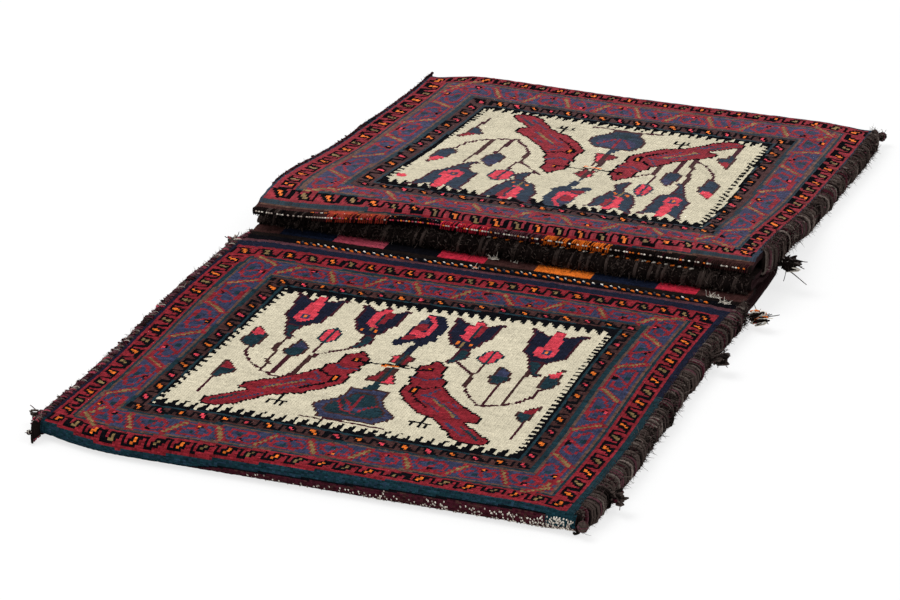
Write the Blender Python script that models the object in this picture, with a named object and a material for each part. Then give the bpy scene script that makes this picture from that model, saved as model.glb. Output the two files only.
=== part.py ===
"""Saddle bag of two woven pouches joined by a folded bridge, lying flat with both faces up.

One long woven strip makes the whole body. It starts at the front mouth, runs along the front face,
turns under at the bottom fold, comes back as the front back panel, and goes on as the bridge.
The bridge is laid in a Z over the front mouth, and then becomes the back panel and the face of the
rear pouch. Cords of dark goat hair bind the side edges, and a thin overcast edge closes each mouth hem.
Metres, +Z up. The front pouch lies towards -Y. The origin is at the middle of the bag, on the ground.
"""
import math

import bmesh
import bpy
from mathutils import Vector
from mathutils.geometry import delaunay_2d_cdt, tessellate_polygon

# Driving dimensions
STRIP_WIDTH = 0.528         # woven width, between the side bindings
FOLD_Y = 0.513              # distance of each bottom fold from the middle
FACE = 0.0070               # knotted pile with its ground weave
FLAT = 0.0045               # flat weave of the backs, the bridge and the mouth bands
POUCH_GAP = 0.0080          # room inside a pouch that lies empty
FRONT_PILE = 0.4812         # from the turn of the bottom fold to the last guard stripe, front face
REAR_PILE = 0.4640          # the same on the rear face
FRONT_BAND = 0.060          # flat-woven band at the front mouth
REAR_BAND = 0.017           # what shows of the band at the rear mouth
BRIDGE_START_Y = 0.030      # where the front back panel goes on as the bridge
BRIDGE_TURN_Y = 0.125       # where the bridge turns back under the rear pouch
CLIMB = 0.028               # length over which the bridge climbs onto the front hem
NOSE_Y = 0.022              # front of the roll that the bridge makes over the front mouth
NOSE_RADIUS = 0.0055
NOSE_END_Y = 0.092          # where the roll has come down to the layer under it
DESCENT_END_Y = 0.26        # where the rear back panel reaches the ground
REAR_RISE_Y = 0.30          # where the rear face starts to rise
THINNING = 0.0035           # length over which the pile ends and the flat band begins
REAR_BAND_FALL = 0.0016
LAYER_GAP = 0.0008          # between two layers that lie on each other
SEAM_GAP = 0.0003           # between pieces that touch
REAR_MOUTH_RISE = 0.0305    # how far the rear mouth stands above the far end of its face
DROOP = 0.016               # how far the rear mouth's left end hangs forward
DROOP_FALL = 0.007          # and how far it falls there
NOSE_THIN = 0.005           # how much lower the roll is at its left end
EDGE_LIFT = 0.0022          # the back panel's side edges, gathered up into the binding
EDGE_DROP = 0.0012          # the face's side edges, drawn down into the binding
WAVE = 0.0022               # height of the soft waves in the faces
LEFT_CORD = (0.0060, 0.0040, 3)     # how far it stands out and reaches in, and its outer corners
RIGHT_CORD = (0.0150, 0.0075, 4)    # the right cords are thicker
LIP = 0.0017                # thickness of a cord where it reaches in over the edge
WRAP_RIDGE = 0.10           # the wraps stand out by this share of the cord
WRAP_PITCH = 0.032          # one turn of the overcast wrapping
HEM = 0.0012                # thickness of the overcast mouth hems
HEM_RIDGE = 0.25            # the stitches swell and sink by this share of it
HEM_CLEAR = 0.0005          # between a hem and the band that it closes
HEM_REACH = 0.006           # how far the hem's stitches reach in from the edge
FRONT_SEAM_END = 0.004      # where the front side seams stop
REAR_SEAM_END = 0.062       # where the rear side seams stop

# Pattern, in distances from the turn of the fold and from the middle
FIELD_WIDTH = 0.355
FIELD_LENGTH = 0.311
FIELD_START = 0.0762
GUARD_LINE = 0.0015
BLOCK_SLANT = 0.35
# Each border's width, the pitch, length and breadth of its blocks, and their colours in turn
INNER_BORDER = (0.026, 0.056, 0.011, 0.010, ("orange", "black", "pink", "black"))
MAIN_BORDER = (0.029, 0.070, 0.032, 0.017, ("red", "red", "teal"))
RED_BORDER = (0.024, 0.054, 0.015, 0.012, ("black", "orange", "black", "teal"))
FRONT_BLOCKS = (("brown", 0.07), ("navy", 0.12), ("pink", 0.10), ("black", 0.11), ("pink", 0.10),
                ("brown", 0.11), ("orange", 0.13), ("navy", 0.11), ("pink", 0.08), ("brown", 0.07))
REAR_BLOCKS = (("pink", 0.06), ("maroon", 0.18), ("orange", 0.12), ("maroon", 0.20), ("pink", 0.10),
               ("black", 0.14), ("orange", 0.13), ("maroon", 0.07))

KNOT_RADIUS = 0.0065        # knotted ends of the bindings at the bottom folds

MERGE = 0.00012             # pattern corners closer than this become one
RIM = 0.0012                # colour fields keep this far from the strip's edges
COLUMNS = 9
SELVEDGE = 0.010            # level strip along each side edge that the bindings reach over
FACE_ROWS = 10

COLOURS = {
    "red": (0.36, 0.030, 0.035),
    "pink": (0.62, 0.075, 0.10),
    "blue": (0.045, 0.050, 0.150),
    "navy": (0.012, 0.018, 0.050),
    "teal": (0.015, 0.060, 0.075),
    "cream": (0.62, 0.57, 0.44),
    "brown": (0.16, 0.090, 0.070),
    "orange": (0.75, 0.19, 0.030),
    "black": (0.010, 0.010, 0.012),
    "maroon": (0.070, 0.020, 0.026),
    "goat_hair": (0.022, 0.015, 0.013),
    "cotton": (0.70, 0.66, 0.58),
}


def clear_scene():
    for thing in list(bpy.data.objects):
        bpy.data.objects.remove(thing, do_unlink=True)


def wool(name):
    material = bpy.data.materials.get(name)
    if material is None:
        material = bpy.data.materials.new(name)
        material.use_nodes = True
        shader = material.node_tree.nodes["Principled BSDF"]
        shader.inputs["Base Color"].default_value = (*COLOURS[name], 1.0)
        shader.inputs["Roughness"].default_value = 0.9
        shader.inputs["Metallic"].default_value = 0.0
        material.diffuse_color = (*COLOURS[name], 1.0)
    return material


def ease(t):
    """0 to 1 with level ends."""
    t = min(1.0, max(0.0, t))
    return t * t * (3.0 - 2.0 * t)


# Heights of the layers, worked out upwards from the ground
BACK_Z = FLAT / 2
FACE_Z = FLAT + POUCH_GAP + FACE / 2
BAND_Z = FLAT + POUCH_GAP + FLAT / 2
TURN_RADIUS = (BAND_Z - BACK_Z) / 2
FOLD_RADIUS = (FACE_Z - BACK_Z) / 2
FOLD_CENTRE_Y = FOLD_Y - FOLD_RADIUS - (FACE + FLAT) / 4
FRONT_HEM_Y = -FOLD_CENTRE_Y + FRONT_PILE + FRONT_BAND
OVER_HEM_Z = BAND_Z + FLAT + HEM * (1.0 + HEM_RIDGE) + HEM_CLEAR + SEAM_GAP
NOSE_TOP_Z = OVER_HEM_Z + 2 * NOSE_RADIUS
LEG_Z = BAND_Z + FLAT + LAYER_GAP
NOSE_CENTRE_Y = NOSE_Y + NOSE_RADIUS + FLAT / 2
CLIMB_START_Y = FRONT_HEM_Y + HEM + 0.006
CLIMB_END_Y = CLIMB_START_Y + CLIMB
REAR_GUARD_Y = FOLD_CENTRE_Y - REAR_PILE


def lower_bridge_z(y):
    """Middle leg of the bridge: level in the throat, then up over the front hem."""
    return BAND_Z + (OVER_HEM_Z - BAND_Z) * ease((CLIMB_END_Y - y) / (CLIMB_END_Y - CLIMB_START_Y))


def upper_bridge_z(y):
    """Top leg of the bridge and the rear back panel: from the nose down to the ground."""
    if y < BRIDGE_TURN_Y:
        drop = ease((y - NOSE_CENTRE_Y) / (NOSE_END_Y - NOSE_CENTRE_Y))
        return NOSE_TOP_Z + (LEG_Z - NOSE_TOP_Z) * drop
    return LEG_Z + (BACK_Z - LEG_Z) * ease((y - BRIDGE_TURN_Y) / (DESCENT_END_Y - BRIDGE_TURN_Y))


def rear_face_z(y):
    """Rear face: rises over the folded bridge towards its mouth."""
    rise = ease((REAR_RISE_Y - y) / (REAR_RISE_Y - REAR_GUARD_Y))
    return FACE_Z + REAR_MOUTH_RISE * rise


def rear_band_z(y):
    """Rear mouth band: thinner than the pile, and bent down towards its hem."""
    share = (REAR_GUARD_Y - y) / REAR_BAND
    return rear_face_z(y) - (FACE - FLAT) / 2 - REAR_BAND_FALL * share


class Station:
    """One row of the strip: middle of its thickness, half thickness, and the layer that it is in."""

    def __init__(self, y, z, half, layer):
        self.y = y
        self.z = z
        self.half = half
        self.layer = layer
        self.normal = (0.0, 1.0)


def spread(start, end, count):
    return [start + (end - start) * i / count for i in range(count + 1)]


def turn(centre_y, centre_z, radius, start, end, count, half_start, half_end, layers):
    """Rows round a fold, between its two straight legs."""
    rows = []
    for i in range(1, count):
        share = i / count
        angle = math.radians(start + (end - start) * share)
        half = half_start + (half_end - half_start) * share
        layer = (layers[0], layers[1], share)
        y = centre_y + radius * math.cos(angle)
        z = centre_z + radius * math.sin(angle)
        rows.append(Station(y, z, half, layer))
    return rows


def strip_rows():
    """The strip's rows from the front hem to the rear hem, and the row where each stretch starts."""
    rows = []
    marks = {}

    def leg(name, ys, height, half, layer):
        marks[name] = len(rows)
        for y in ys:
            rows.append(Station(y, height(y), half, (layer, layer, 0.0)))

    band_end = FRONT_HEM_Y - FRONT_BAND
    flat = FLAT / 2
    leg("front_band", spread(FRONT_HEM_Y, band_end, 3), lambda y: BAND_Z, flat, "front_face")
    pile = spread(band_end - THINNING, -FOLD_CENTRE_Y, FACE_ROWS)
    leg("front_face", pile, lambda y: FACE_Z, FACE / 2, "front_face")
    middle = (FACE_Z + BACK_Z) / 2
    layers = ("front_face", "front_back")
    rows += turn(-FOLD_CENTRE_Y, middle, FOLD_RADIUS, 90, 270, 8, FACE / 2, flat, layers)
    leg("front_back", spread(-FOLD_CENTRE_Y, FRONT_SEAM_END, 5), lambda y: BACK_Z, flat, "front_back")
    turn_y = BRIDGE_TURN_Y - TURN_RADIUS
    leg("bridge_under", spread(BRIDGE_START_Y, turn_y, 2), lambda y: BACK_Z, flat, "bridge")
    rows += turn(turn_y, (BAND_Z + BACK_Z) / 2, TURN_RADIUS, -90, 90, 6, flat, flat, ("bridge", "bridge"))
    leg("bridge_middle", [turn_y, CLIMB_END_Y], lower_bridge_z, flat, "bridge")
    climb = spread(CLIMB_END_Y, CLIMB_START_Y, 5)[1:] + [NOSE_CENTRE_Y]
    leg("climb", climb, lower_bridge_z, flat, "bridge")
    nose_z = (OVER_HEM_Z + NOSE_TOP_Z) / 2
    rows += turn(NOSE_CENTRE_Y, nose_z, NOSE_RADIUS, 270, 90, 8, flat, flat, ("bridge", "rear_back"))
    leg("bridge_top", spread(NOSE_CENTRE_Y, NOSE_END_Y, 5), upper_bridge_z, flat, "rear_back")
    leg("descent", spread(BRIDGE_TURN_Y, DESCENT_END_Y, 6), upper_bridge_z, flat, "rear_back")
    leg("rear_back", spread(DESCENT_END_Y + 0.08, FOLD_CENTRE_Y, 3), lambda y: BACK_Z, flat, "rear_back")
    rows += turn(FOLD_CENTRE_Y, middle, FOLD_RADIUS, -90, 90, 8, flat, FACE / 2, ("rear_back", "rear_face"))
    leg("rear_face", spread(FOLD_CENTRE_Y, REAR_GUARD_Y, FACE_ROWS), rear_face_z, FACE / 2, "rear_face")
    band = spread(REAR_GUARD_Y - THINNING, REAR_GUARD_Y - REAR_BAND, 2)
    leg("rear_band", band, rear_band_z, flat, "rear_face")
    marks["end"] = len(rows) - 1
    for i, row in enumerate(rows):
        before = rows[max(0, i - 1)]
        after = rows[min(len(rows) - 1, i + 1)]
        run = math.hypot(after.y - before.y, after.z - before.z)
        row.normal = ((after.z - before.z) / run, -(after.y - before.y) / run)
    return rows, marks


def edge_share(x):
    """0 inside, 1 at the woven side edges."""
    return ease((abs(x) - (STRIP_WIDTH / 2 - SELVEDGE - 0.020)) / 0.019)


def columns():
    """Places across the strip: even ones, with one more along each selvedge."""
    edge = STRIP_WIDTH / 2
    return [-edge] + spread(SELVEDGE - edge, edge - SELVEDGE, COLUMNS) + [edge]


def waves(x, y):
    """Soft waves of cloth that has been folded and carried, none at its edges."""
    inside = 1.0 - ease((abs(x) - 0.20) / 0.05)
    swell = math.sin(13.0 * x + 9.0 * y + 0.6) + 0.7 * math.sin(21.0 * y - 7.0 * x + 2.0)
    return WAVE * inside * (1.0 + 0.55 * swell)


def left_share(x):
    """0 from the middle to the right, 1 at the left end of the mouth."""
    return ease((-x - 0.07) / 0.17)


def nose_swell(x):
    """The roll is thinner at both ends than in its middle."""
    return -NOSE_THIN * ease((-x - 0.02) / 0.20) - 0.6 * NOSE_THIN * ease((x - 0.16) / 0.10)


def one_layer_lift(x, y, layer):
    front = ease((FRONT_SEAM_END + 0.012 - y) / 0.010)
    rear = ease((y - REAR_SEAM_END + 0.012) / 0.010)
    if layer == "front_face":
        return waves(x, y) * ease((-0.01 - y) / 0.06) - EDGE_DROP * edge_share(x) * front
    if layer == "front_back":
        return EDGE_LIFT * edge_share(x) * front
    if layer == "rear_face":
        fall = DROOP_FALL * left_share(x) * ease((0.075 - y) / 0.05)
        return waves(x, y) * ease((y - 0.03) / 0.06) - fall - EDGE_DROP * edge_share(x) * rear
    if layer == "rear_back":
        swell = nose_swell(x) * (1.0 - ease((y - 0.03) / 0.05))
        return EDGE_LIFT * edge_share(x) * rear + swell
    return 0.0


def droop(x, y, layer):
    """How far the rear mouth's left end hangs forward."""
    if layer[1] != "rear_face" or y > 0.2:
        return 0.0
    return -DROOP * left_share(x) * ease((0.075 - y) / 0.05)


def layer_lift(x, y, layer):
    first, second, share = layer
    return one_layer_lift(x, y, first) * (1.0 - share) + one_layer_lift(x, y, second) * share


def settled(x, y, z):
    """The plan outline of the worn bag: a drawn-in left corner, a narrower far end and wavy sides."""
    left = ease(-x / 0.26)
    corner = ease((-x - 0.15) / 0.12)
    near_end = 0.016 * ease((-y - 0.36) / 0.15)
    far_end = 0.010 * ease((y - 0.40) / 0.11)
    y_in = corner * corner * (near_end - far_end)
    x_in = 0.010 * left * ease((y - 0.24) / 0.24)
    x_wave = 0.0025 * math.sin(15.0 * y + 0.8) * ease(abs(x) / 0.26)
    return Vector((x + x_in + x_wave, y + y_in, z))


def surface_yz(x, row, side):
    """Y and Z on the outer (side 1) or inner (side -1) surface of the strip, before it settles."""
    y = row.y + row.normal[0] * row.half * side + droop(x, row.y, row.layer)
    z = row.z + row.normal[1] * row.half * side
    return y, z + layer_lift(x, row.y, row.layer)


def on_row(x, row, side):
    """A point on the strip's outer or inner surface."""
    y, z = surface_yz(x, row, side)
    return settled(x, y, z)


def between(first, second, share):
    """A row part of the way between two rows."""
    y = first.y * (1 - share) + second.y * share
    z = first.z * (1 - share) + second.z * share
    half = first.half * (1 - share) + second.half * share
    mix = Station(y, z, half, first.layer)
    mix.normal = tuple(a * (1 - share) + b * share for a, b in zip(first.normal, second.normal))
    return mix


def mirrored(outline):
    return [(-x, y) for x, y in reversed(outline)]


def shifted(outline, dx, dy=0.0):
    return [(x + dx, y + dy) for x, y in outline]


# Outlines of the field's figures in millimetres, from the field's middle line and its edge at the fold
BIRD = [(-38, 179), (-21, 161), (-26, 135), (-22, 107), (-38, 75), (-63, 57), (-88, 49), (-109, 19),
        (-137, 19), (-123, 45), (-109, 63), (-118, 77), (-88, 107), (-60, 139), (-49, 163)]
BIRD_WING = [(-34, 118), (-50, 86), (-84, 68), (-104, 72), (-70, 104), (-48, 128)]
BIRD_FOOT = [(-76, 52), (-68, 34), (-80, 24), (-66, 27), (-54, 24), (-62, 36), (-66, 55)]
VASE = [(-15, 95), (24, 95), (45, 47), (29, 25), (-19, 25), (-34, 51)]
VASE_HEART = [(-7, 86), (16, 86), (30, 50), (20, 34), (-10, 34), (-20, 52)]
VASE_FOOT = [(-35, 18), (45, 18), (36, 25), (-26, 25)]
COLUMN = [(-1, 95), (6, 95), (8, 175), (14, 190), (-8, 190), (-2, 175)]
TULIP = [(-22, 302), (-14, 240), (-3, 196), (3, 196), (14, 240), (22, 302), (9, 282), (0, 250),
         (-9, 282)]
TONGUE = [(-7, 298), (0, 258), (7, 298), (0, 308)]
CENTRE_FLOWER = [(-20, 214), (-12, 262), (2, 288), (20, 286), (25, 250), (16, 212), (8, 214), (12, 250),
                 (2, 262), (-6, 214)]
CENTRE_HEART = [(-12, 222), (-8, 250), (2, 258), (8, 248), (4, 222)]
BUD = [(-11, 206), (0, 219), (11, 206), (8, 192), (-8, 192)]
LEAF = [(-8, 176), (0, 192), (9, 178), (4, 150), (-5, 150)]
LOW_FLOWER = [(-9, 108), (0, 120), (9, 106), (6, 82), (-4, 82)]
STEM = [(-2, 98), (2, 98), (2, 196), (-2, 196)]
LOW_STEM = [(-1.5, 40), (1.5, 40), (1.5, 82), (-1.5, 82)]
STEM_PLACES = (-122, -105, -81, 111, 128, 81)
LOW_FLOWER_PLACES = (-147, 155)
TULIP_PLACES = (-129, -54, 42, 129)
BUD_PLACES = ((-85, 0), (83, 0), (-101, -38), (108, -38))


def field_figures():
    """Colour and outline of each figure, in the order they are laid over each other."""
    figures = []
    for place in STEM_PLACES:
        figures.append(("brown", shifted(STEM, place)))
    for place in LOW_FLOWER_PLACES:
        figures.append(("teal", shifted(LOW_STEM, place)))
        figures.append(("pink", shifted(LOW_FLOWER, place)))
        figures.append(("teal", shifted(LEAF, place)))
    for place in TULIP_PLACES:
        figures.append(("navy", shifted(TULIP, place)))
        figures.append(("pink", shifted(TONGUE, place)))
    figures.append(("navy", CENTRE_FLOWER))
    figures.append(("pink", CENTRE_HEART))
    figures.append(("red", COLUMN))
    for dx, dy in BUD_PLACES:
        figures.append(("red" if dy == 0 else "teal", shifted(BUD, dx, dy)))
    left_bird = (BIRD, BIRD_WING, BIRD_FOOT)
    for bird in (left_bird, [mirrored(shape) for shape in left_bird]):
        figures.append(("red", bird[0]))
        figures.append(("blue", bird[1]))
        figures.append(("black", bird[2]))
    figures.append(("brown", VASE))
    figures.append(("teal", VASE_HEART))
    figures.append(("maroon", VASE_FOOT))
    return figures


def rectangle(x0, y0, x1, y1):
    return [(x0, y0), (x1, y0), (x1, y1), (x0, y1)]


def slanted_block(x, y, along, across, upright):
    """A leaning block round a point; its length runs along X, or along Y if it is upright."""
    a = along / 2
    b = across / 2
    slant = along * BLOCK_SLANT
    if upright:
        return [(x - b, y - a - slant), (x + b, y - a + slant), (x + b, y + a + slant), (x - b, y + a - slant)]
    return [(x - a - slant, y - b), (x + a - slant, y - b), (x + a + slant, y + b), (x - a + slant, y + b)]


def ring_blocks(width, border):
    """Slanted blocks along the four sides of a border that starts a given width outside the field."""
    size, pitch, along, across, colours = border
    half_x = FIELD_WIDTH / 2 + width + size / 2
    low = FIELD_START - width - size / 2
    high = FIELD_START + FIELD_LENGTH + width + size / 2
    blocks = []
    count_x = round(2 * half_x / pitch)
    count_y = round((high - low) / pitch)
    for i, x in enumerate(spread(-half_x, half_x, count_x)):
        for y in (low, high):
            blocks.append((colours[i % len(colours)], slanted_block(x, y, along, across, False)))
    for i, y in enumerate(spread(low, high, count_y)[1:-1]):
        for x in (-half_x, half_x):
            blocks.append((colours[i % len(colours)], slanted_block(x, y, along, across, True)))
    return blocks


def face_colours(pile, band, band_blocks):
    """Colour fields laid over the guard's colour: x across, y from the turn of the fold, in metres."""
    field_end = FIELD_START + FIELD_LENGTH

    def ring(width):
        half = FIELD_WIDTH / 2 + width
        low = max(GUARD_LINE, FIELD_START - width)
        return rectangle(-half, low, half, min(pile - GUARD_LINE, field_end + width))

    inner = INNER_BORDER[0]
    main = inner + MAIN_BORDER[0]
    fields = [("red", ring(main + RED_BORDER[0])), ("blue", ring(main)), ("brown", ring(inner)),
              ("cream", ring(0.0))]
    fields += ring_blocks(main, RED_BORDER)
    fields += ring_blocks(inner, MAIN_BORDER)
    fields += ring_blocks(0.0, INNER_BORDER)
    for colour, outline in field_figures():
        fields.append((colour, [(x / 1000, FIELD_START + y / 1000) for x, y in outline]))
    half = STRIP_WIDTH / 2
    dark_end = pile + band * 0.25
    start = -half
    for colour, share in band_blocks:
        end = start + share * STRIP_WIDTH
        fields.append((colour, rectangle(start, dark_end, end, pile + band)))
        start = end
    fields.append(("black", rectangle(-half, pile, half, dark_end)))
    return fields


def inside(point, outline):
    """Whether a point is inside an outline."""
    x, y = point
    within = False
    last_x, last_y = outline[-1]
    for next_x, next_y in outline:
        if (next_y > y) != (last_y > y):
            crossing = next_x + (last_x - next_x) * (y - next_y) / (last_y - next_y)
            if x < crossing:
                within = not within
        last_x, last_y = next_x, next_y
    return within


def clipped(outline, low, high):
    """An outline kept between the side edges and between two lengths."""
    half = STRIP_WIDTH / 2 - RIM
    return [(min(half, max(-half, x)), min(high, max(low, y))) for x, y in outline]


def stepped(outline, across, reach):
    """An outline whose long edges get a corner wherever they cross the strip's rows and columns."""
    points = []
    for start, end in zip(outline, outline[1:] + outline[:1]):
        shares = [0.0]
        if max(abs(end[0] - start[0]), abs(end[1] - start[1])) > 0.030:
            for axis, lines in ((0, across), (1, reach)):
                run = end[axis] - start[axis]
                if abs(run) > 0.001:
                    shares += [(line - start[axis]) / run for line in lines]
        for share in sorted(share for share in shares if 0.0 <= share < 0.98):
            point = Vector(start).lerp(Vector(end), share)
            if not points or (point - Vector(points[-1])).length > 0.0008:
                points.append((point.x, point.y))
    return points


class StripMesh:
    """Collects the strip's surface as loose polygons with a colour each, and welds them at the end."""

    def __init__(self):
        self.mesh = bmesh.new()
        self.slots = []

    def slot(self, colour):
        if colour not in self.slots:
            self.slots.append(colour)
        return self.slots.index(colour)

    def polygon(self, points, colour):
        face = self.mesh.faces.new([self.mesh.verts.new(point) for point in points])
        face.material_index = self.slot(colour)

    def finished(self, name):
        bmesh.ops.remove_doubles(self.mesh, verts=self.mesh.verts, dist=0.000002)
        bmesh.ops.triangulate(self.mesh, faces=[f for f in self.mesh.faces if len(f.verts) > 3])
        bmesh.ops.recalc_face_normals(self.mesh, faces=self.mesh.faces)
        return new_object(name, self.mesh, self.slots)


def new_object(name, mesh, colours):
    data = bpy.data.meshes.new(name)
    mesh.to_mesh(data)
    mesh.free()
    for colour in colours:
        data.materials.append(wool(colour))
    thing = bpy.data.objects.new(name, data)
    bpy.context.collection.objects.link(thing)
    return thing


def patterned_face(strip, rows, reversed_rows, fields, guard_colour):
    """Fills the outer surface over some rows with triangles that follow the colour fields' outlines."""
    order = list(reversed(rows)) if reversed_rows else list(rows)
    reach = [0.0]
    for first, second in zip(order, order[1:]):
        reach.append(reach[-1] + math.hypot(second.y - first.y, second.z - first.z))
    sign = 1.0 if reversed_rows else -1.0
    across = columns()
    points = [Vector((x, y)) for y in reach for x in across]
    edges = []
    wide = len(across)
    for row in (0, len(reach) - 1):
        edges += [(row * wide + i, row * wide + i + 1) for i in range(wide - 1)]
    for row in range(len(reach) - 1):
        edges.append((row * wide, (row + 1) * wide))
        edges.append((row * wide + wide - 1, (row + 1) * wide + wide - 1))
    shapes = []
    for colour, outline in fields:
        shape = stepped(clipped(outline, RIM, reach[-1] - RIM), across, reach)
        shapes.append((colour, shape))
        start = len(points)
        points += [Vector(point) for point in shape]
        edges += [(start + i, start + (i + 1) % len(shape)) for i in range(len(shape))]
    corners, _, triangles, _, _, _ = delaunay_2d_cdt(points, edges, [], 0, MERGE)
    placed = []
    for corner in corners:
        index = 0
        while index < len(reach) - 2 and corner.y > reach[index + 1] + 1e-7:
            index += 1
        share = (corner.y - reach[index]) / (reach[index + 1] - reach[index])
        share = 0.0 if share < 1e-5 else 1.0 if share > 1 - 1e-5 else share
        first, second = order[index], order[index + 1]
        row = first if share == 0.0 else second if share == 1.0 else between(first, second, share)
        placed.append(on_row(corner.x * sign, row, 1))
    rims = ((0, across[0]), (0, across[-1]), (1, reach[0]), (1, reach[-1]))
    for triangle in triangles:
        on_rim = any(all(abs(corners[i][axis] - rim) < 1e-5 for i in triangle) for axis, rim in rims)
        if on_rim:
            continue
        middle = sum((corners[i] for i in triangle), Vector((0.0, 0.0))) / 3
        colour = guard_colour
        for name, shape in shapes:
            if inside(middle, shape):
                colour = name
        strip.polygon([placed[i] for i in triangle], colour)


def woven_strip():
    """The one folded strip that both pouches and the bridge are made of."""
    rows, marks = strip_rows()
    strip = StripMesh()
    across = columns()
    front_last = marks["front_face"] + FACE_ROWS
    rear_first = marks["rear_face"]
    front_fields = face_colours(FRONT_PILE, FRONT_BAND, FRONT_BLOCKS)
    rear_fields = face_colours(REAR_PILE, REAR_BAND, REAR_BLOCKS)
    patterned_face(strip, rows[:front_last + 1], True, front_fields, "navy")
    patterned_face(strip, rows[rear_first:], False, rear_fields, "teal")
    for i, (first, second) in enumerate(zip(rows, rows[1:])):
        colour = "maroon" if i < len(rows) // 2 or i >= marks["descent"] else "goat_hair"
        for left, right in zip(across, across[1:]):
            strip.polygon([on_row(left, first, -1), on_row(right, first, -1),
                           on_row(right, second, -1), on_row(left, second, -1)], "maroon")
            if front_last <= i < rear_first:
                strip.polygon([on_row(left, first, 1), on_row(right, first, 1),
                               on_row(right, second, 1), on_row(left, second, 1)], colour)
        for x in (across[0], across[-1]):
            strip.polygon([on_row(x, first, 1), on_row(x, first, -1),
                           on_row(x, second, -1), on_row(x, second, 1)], "maroon")
    for row in (rows[0], rows[-1]):
        for left, right in zip(across, across[1:]):
            strip.polygon([on_row(left, row, 1), on_row(right, row, 1),
                           on_row(right, row, -1), on_row(left, row, -1)], "goat_hair")
    return strip.finished("woven_strip")


def edge_lines(side, pouch):
    """Settled points along the underside of the back panel and the top of the face at a side edge."""
    rows, marks = strip_rows()
    if pouch == "front":
        face = rows[:marks["front_face"] + FACE_ROWS + 1]
        back = rows[marks["front_back"]:marks["bridge_under"] + 1]
    else:
        face = rows[marks["rear_face"]:]
        back = rows[marks["bridge_top"]:marks["rear_back"] + 4]
    lines = []
    for part in (back, face):
        points = [on_row(side * STRIP_WIDTH / 2, row, 1) for row in part]
        lines.append(sorted(points, key=lambda point: point.y))
    return lines


def point_on(line, y):
    """Point of a run of points at y, held level past its ends."""
    if y <= line[0].y:
        return line[0]
    for first, second in zip(line, line[1:]):
        if y <= second.y:
            return first.lerp(second, (y - first.y) / (second.y - first.y))
    return line[-1]


def edge_at(side, pouch, y):
    """Outermost X of the woven edge at y, underside of the back panel there, and top of the face."""
    back, face = (point_on(line, y) for line in edge_lines(side, pouch))
    return max(side * back.x, side * face.x), back.z, face.z


def loft(name, sections, colour):
    """A closed solid through a run of sections with the same number of corners."""
    mesh = bmesh.new()
    rings = [[mesh.verts.new(point) for point in section] for section in sections]
    count = len(rings[0])
    for first, second in zip(rings, rings[1:]):
        for i in range(count):
            j = (i + 1) % count
            mesh.faces.new((first[i], first[j], second[j], second[i]))
    for ring in (rings[0], rings[-1]):
        for triple in tessellate_polygon([[vertex.co for vertex in ring]]):
            mesh.faces.new([ring[i] for i in triple])
    bmesh.ops.triangulate(mesh, faces=[face for face in mesh.faces if len(face.verts) > 3])
    bmesh.ops.recalc_face_normals(mesh, faces=mesh.faces)
    return new_object(name, mesh, [colour])


def wrapped(bends):
    """The bends' places, with more between them so that none are further apart than half a wrap."""
    places = [bends[0]]
    for bend in bends[1:]:
        if bend - places[-1] < 0.0025 and bend != bends[-1]:
            places.append(bend)
            continue
        steps = max(1, math.ceil((bend - places[-1]) / (WRAP_PITCH / 2) - 0.2))
        places += spread(places[-1], bend, steps)[1:]
    return places


def binding_sections(side, pouch):
    """Sections of the goat-hair cord overcast round both edges of a pouch, bottom fold to end of seam."""
    bulge, reach, outer_corners = RIGHT_CORD if side > 0 else LEFT_CORD
    if pouch == "front":
        start, end = -FOLD_CENTRE_Y - 0.003, FRONT_SEAM_END
    else:
        start, end = REAR_SEAM_END, FOLD_CENTRE_Y + 0.003
    back, face = edge_lines(side, pouch)
    shaped = face if pouch == "front" else face + back
    bends = [start, end] + [point.y for point in shaped if start + 0.002 < point.y < end - 0.002]
    sections = []
    for i, y in enumerate(wrapped(sorted(bends))):
        edge, low, high = edge_at(side, pouch, y)
        wall = 2 * SEAM_GAP
        under, over = low - SEAM_GAP, high + SEAM_GAP
        bottom, top = under - LIP, over + LIP
        middle, rise = (bottom + top) / 2, (top - bottom) / 2
        corners = [(-reach, over), (-reach * 0.8, top)]
        for step in range(outer_corners):
            angle = 66 - 132 * step / (outer_corners - 1)
            ridge = 1.0 + (WRAP_RIDGE if (i + step) % 2 else -WRAP_RIDGE / 2)
            out = bulge * math.cos(math.radians(angle)) * ridge
            corners.append((max(0.002, out), middle + rise * math.sin(math.radians(angle))))
        corners += [(-reach * 0.8, bottom), (-reach, under), (wall, under), (wall, over)]
        sections.append([Vector((side * (edge + out), y, z)) for out, z in corners])
    return sections


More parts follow.
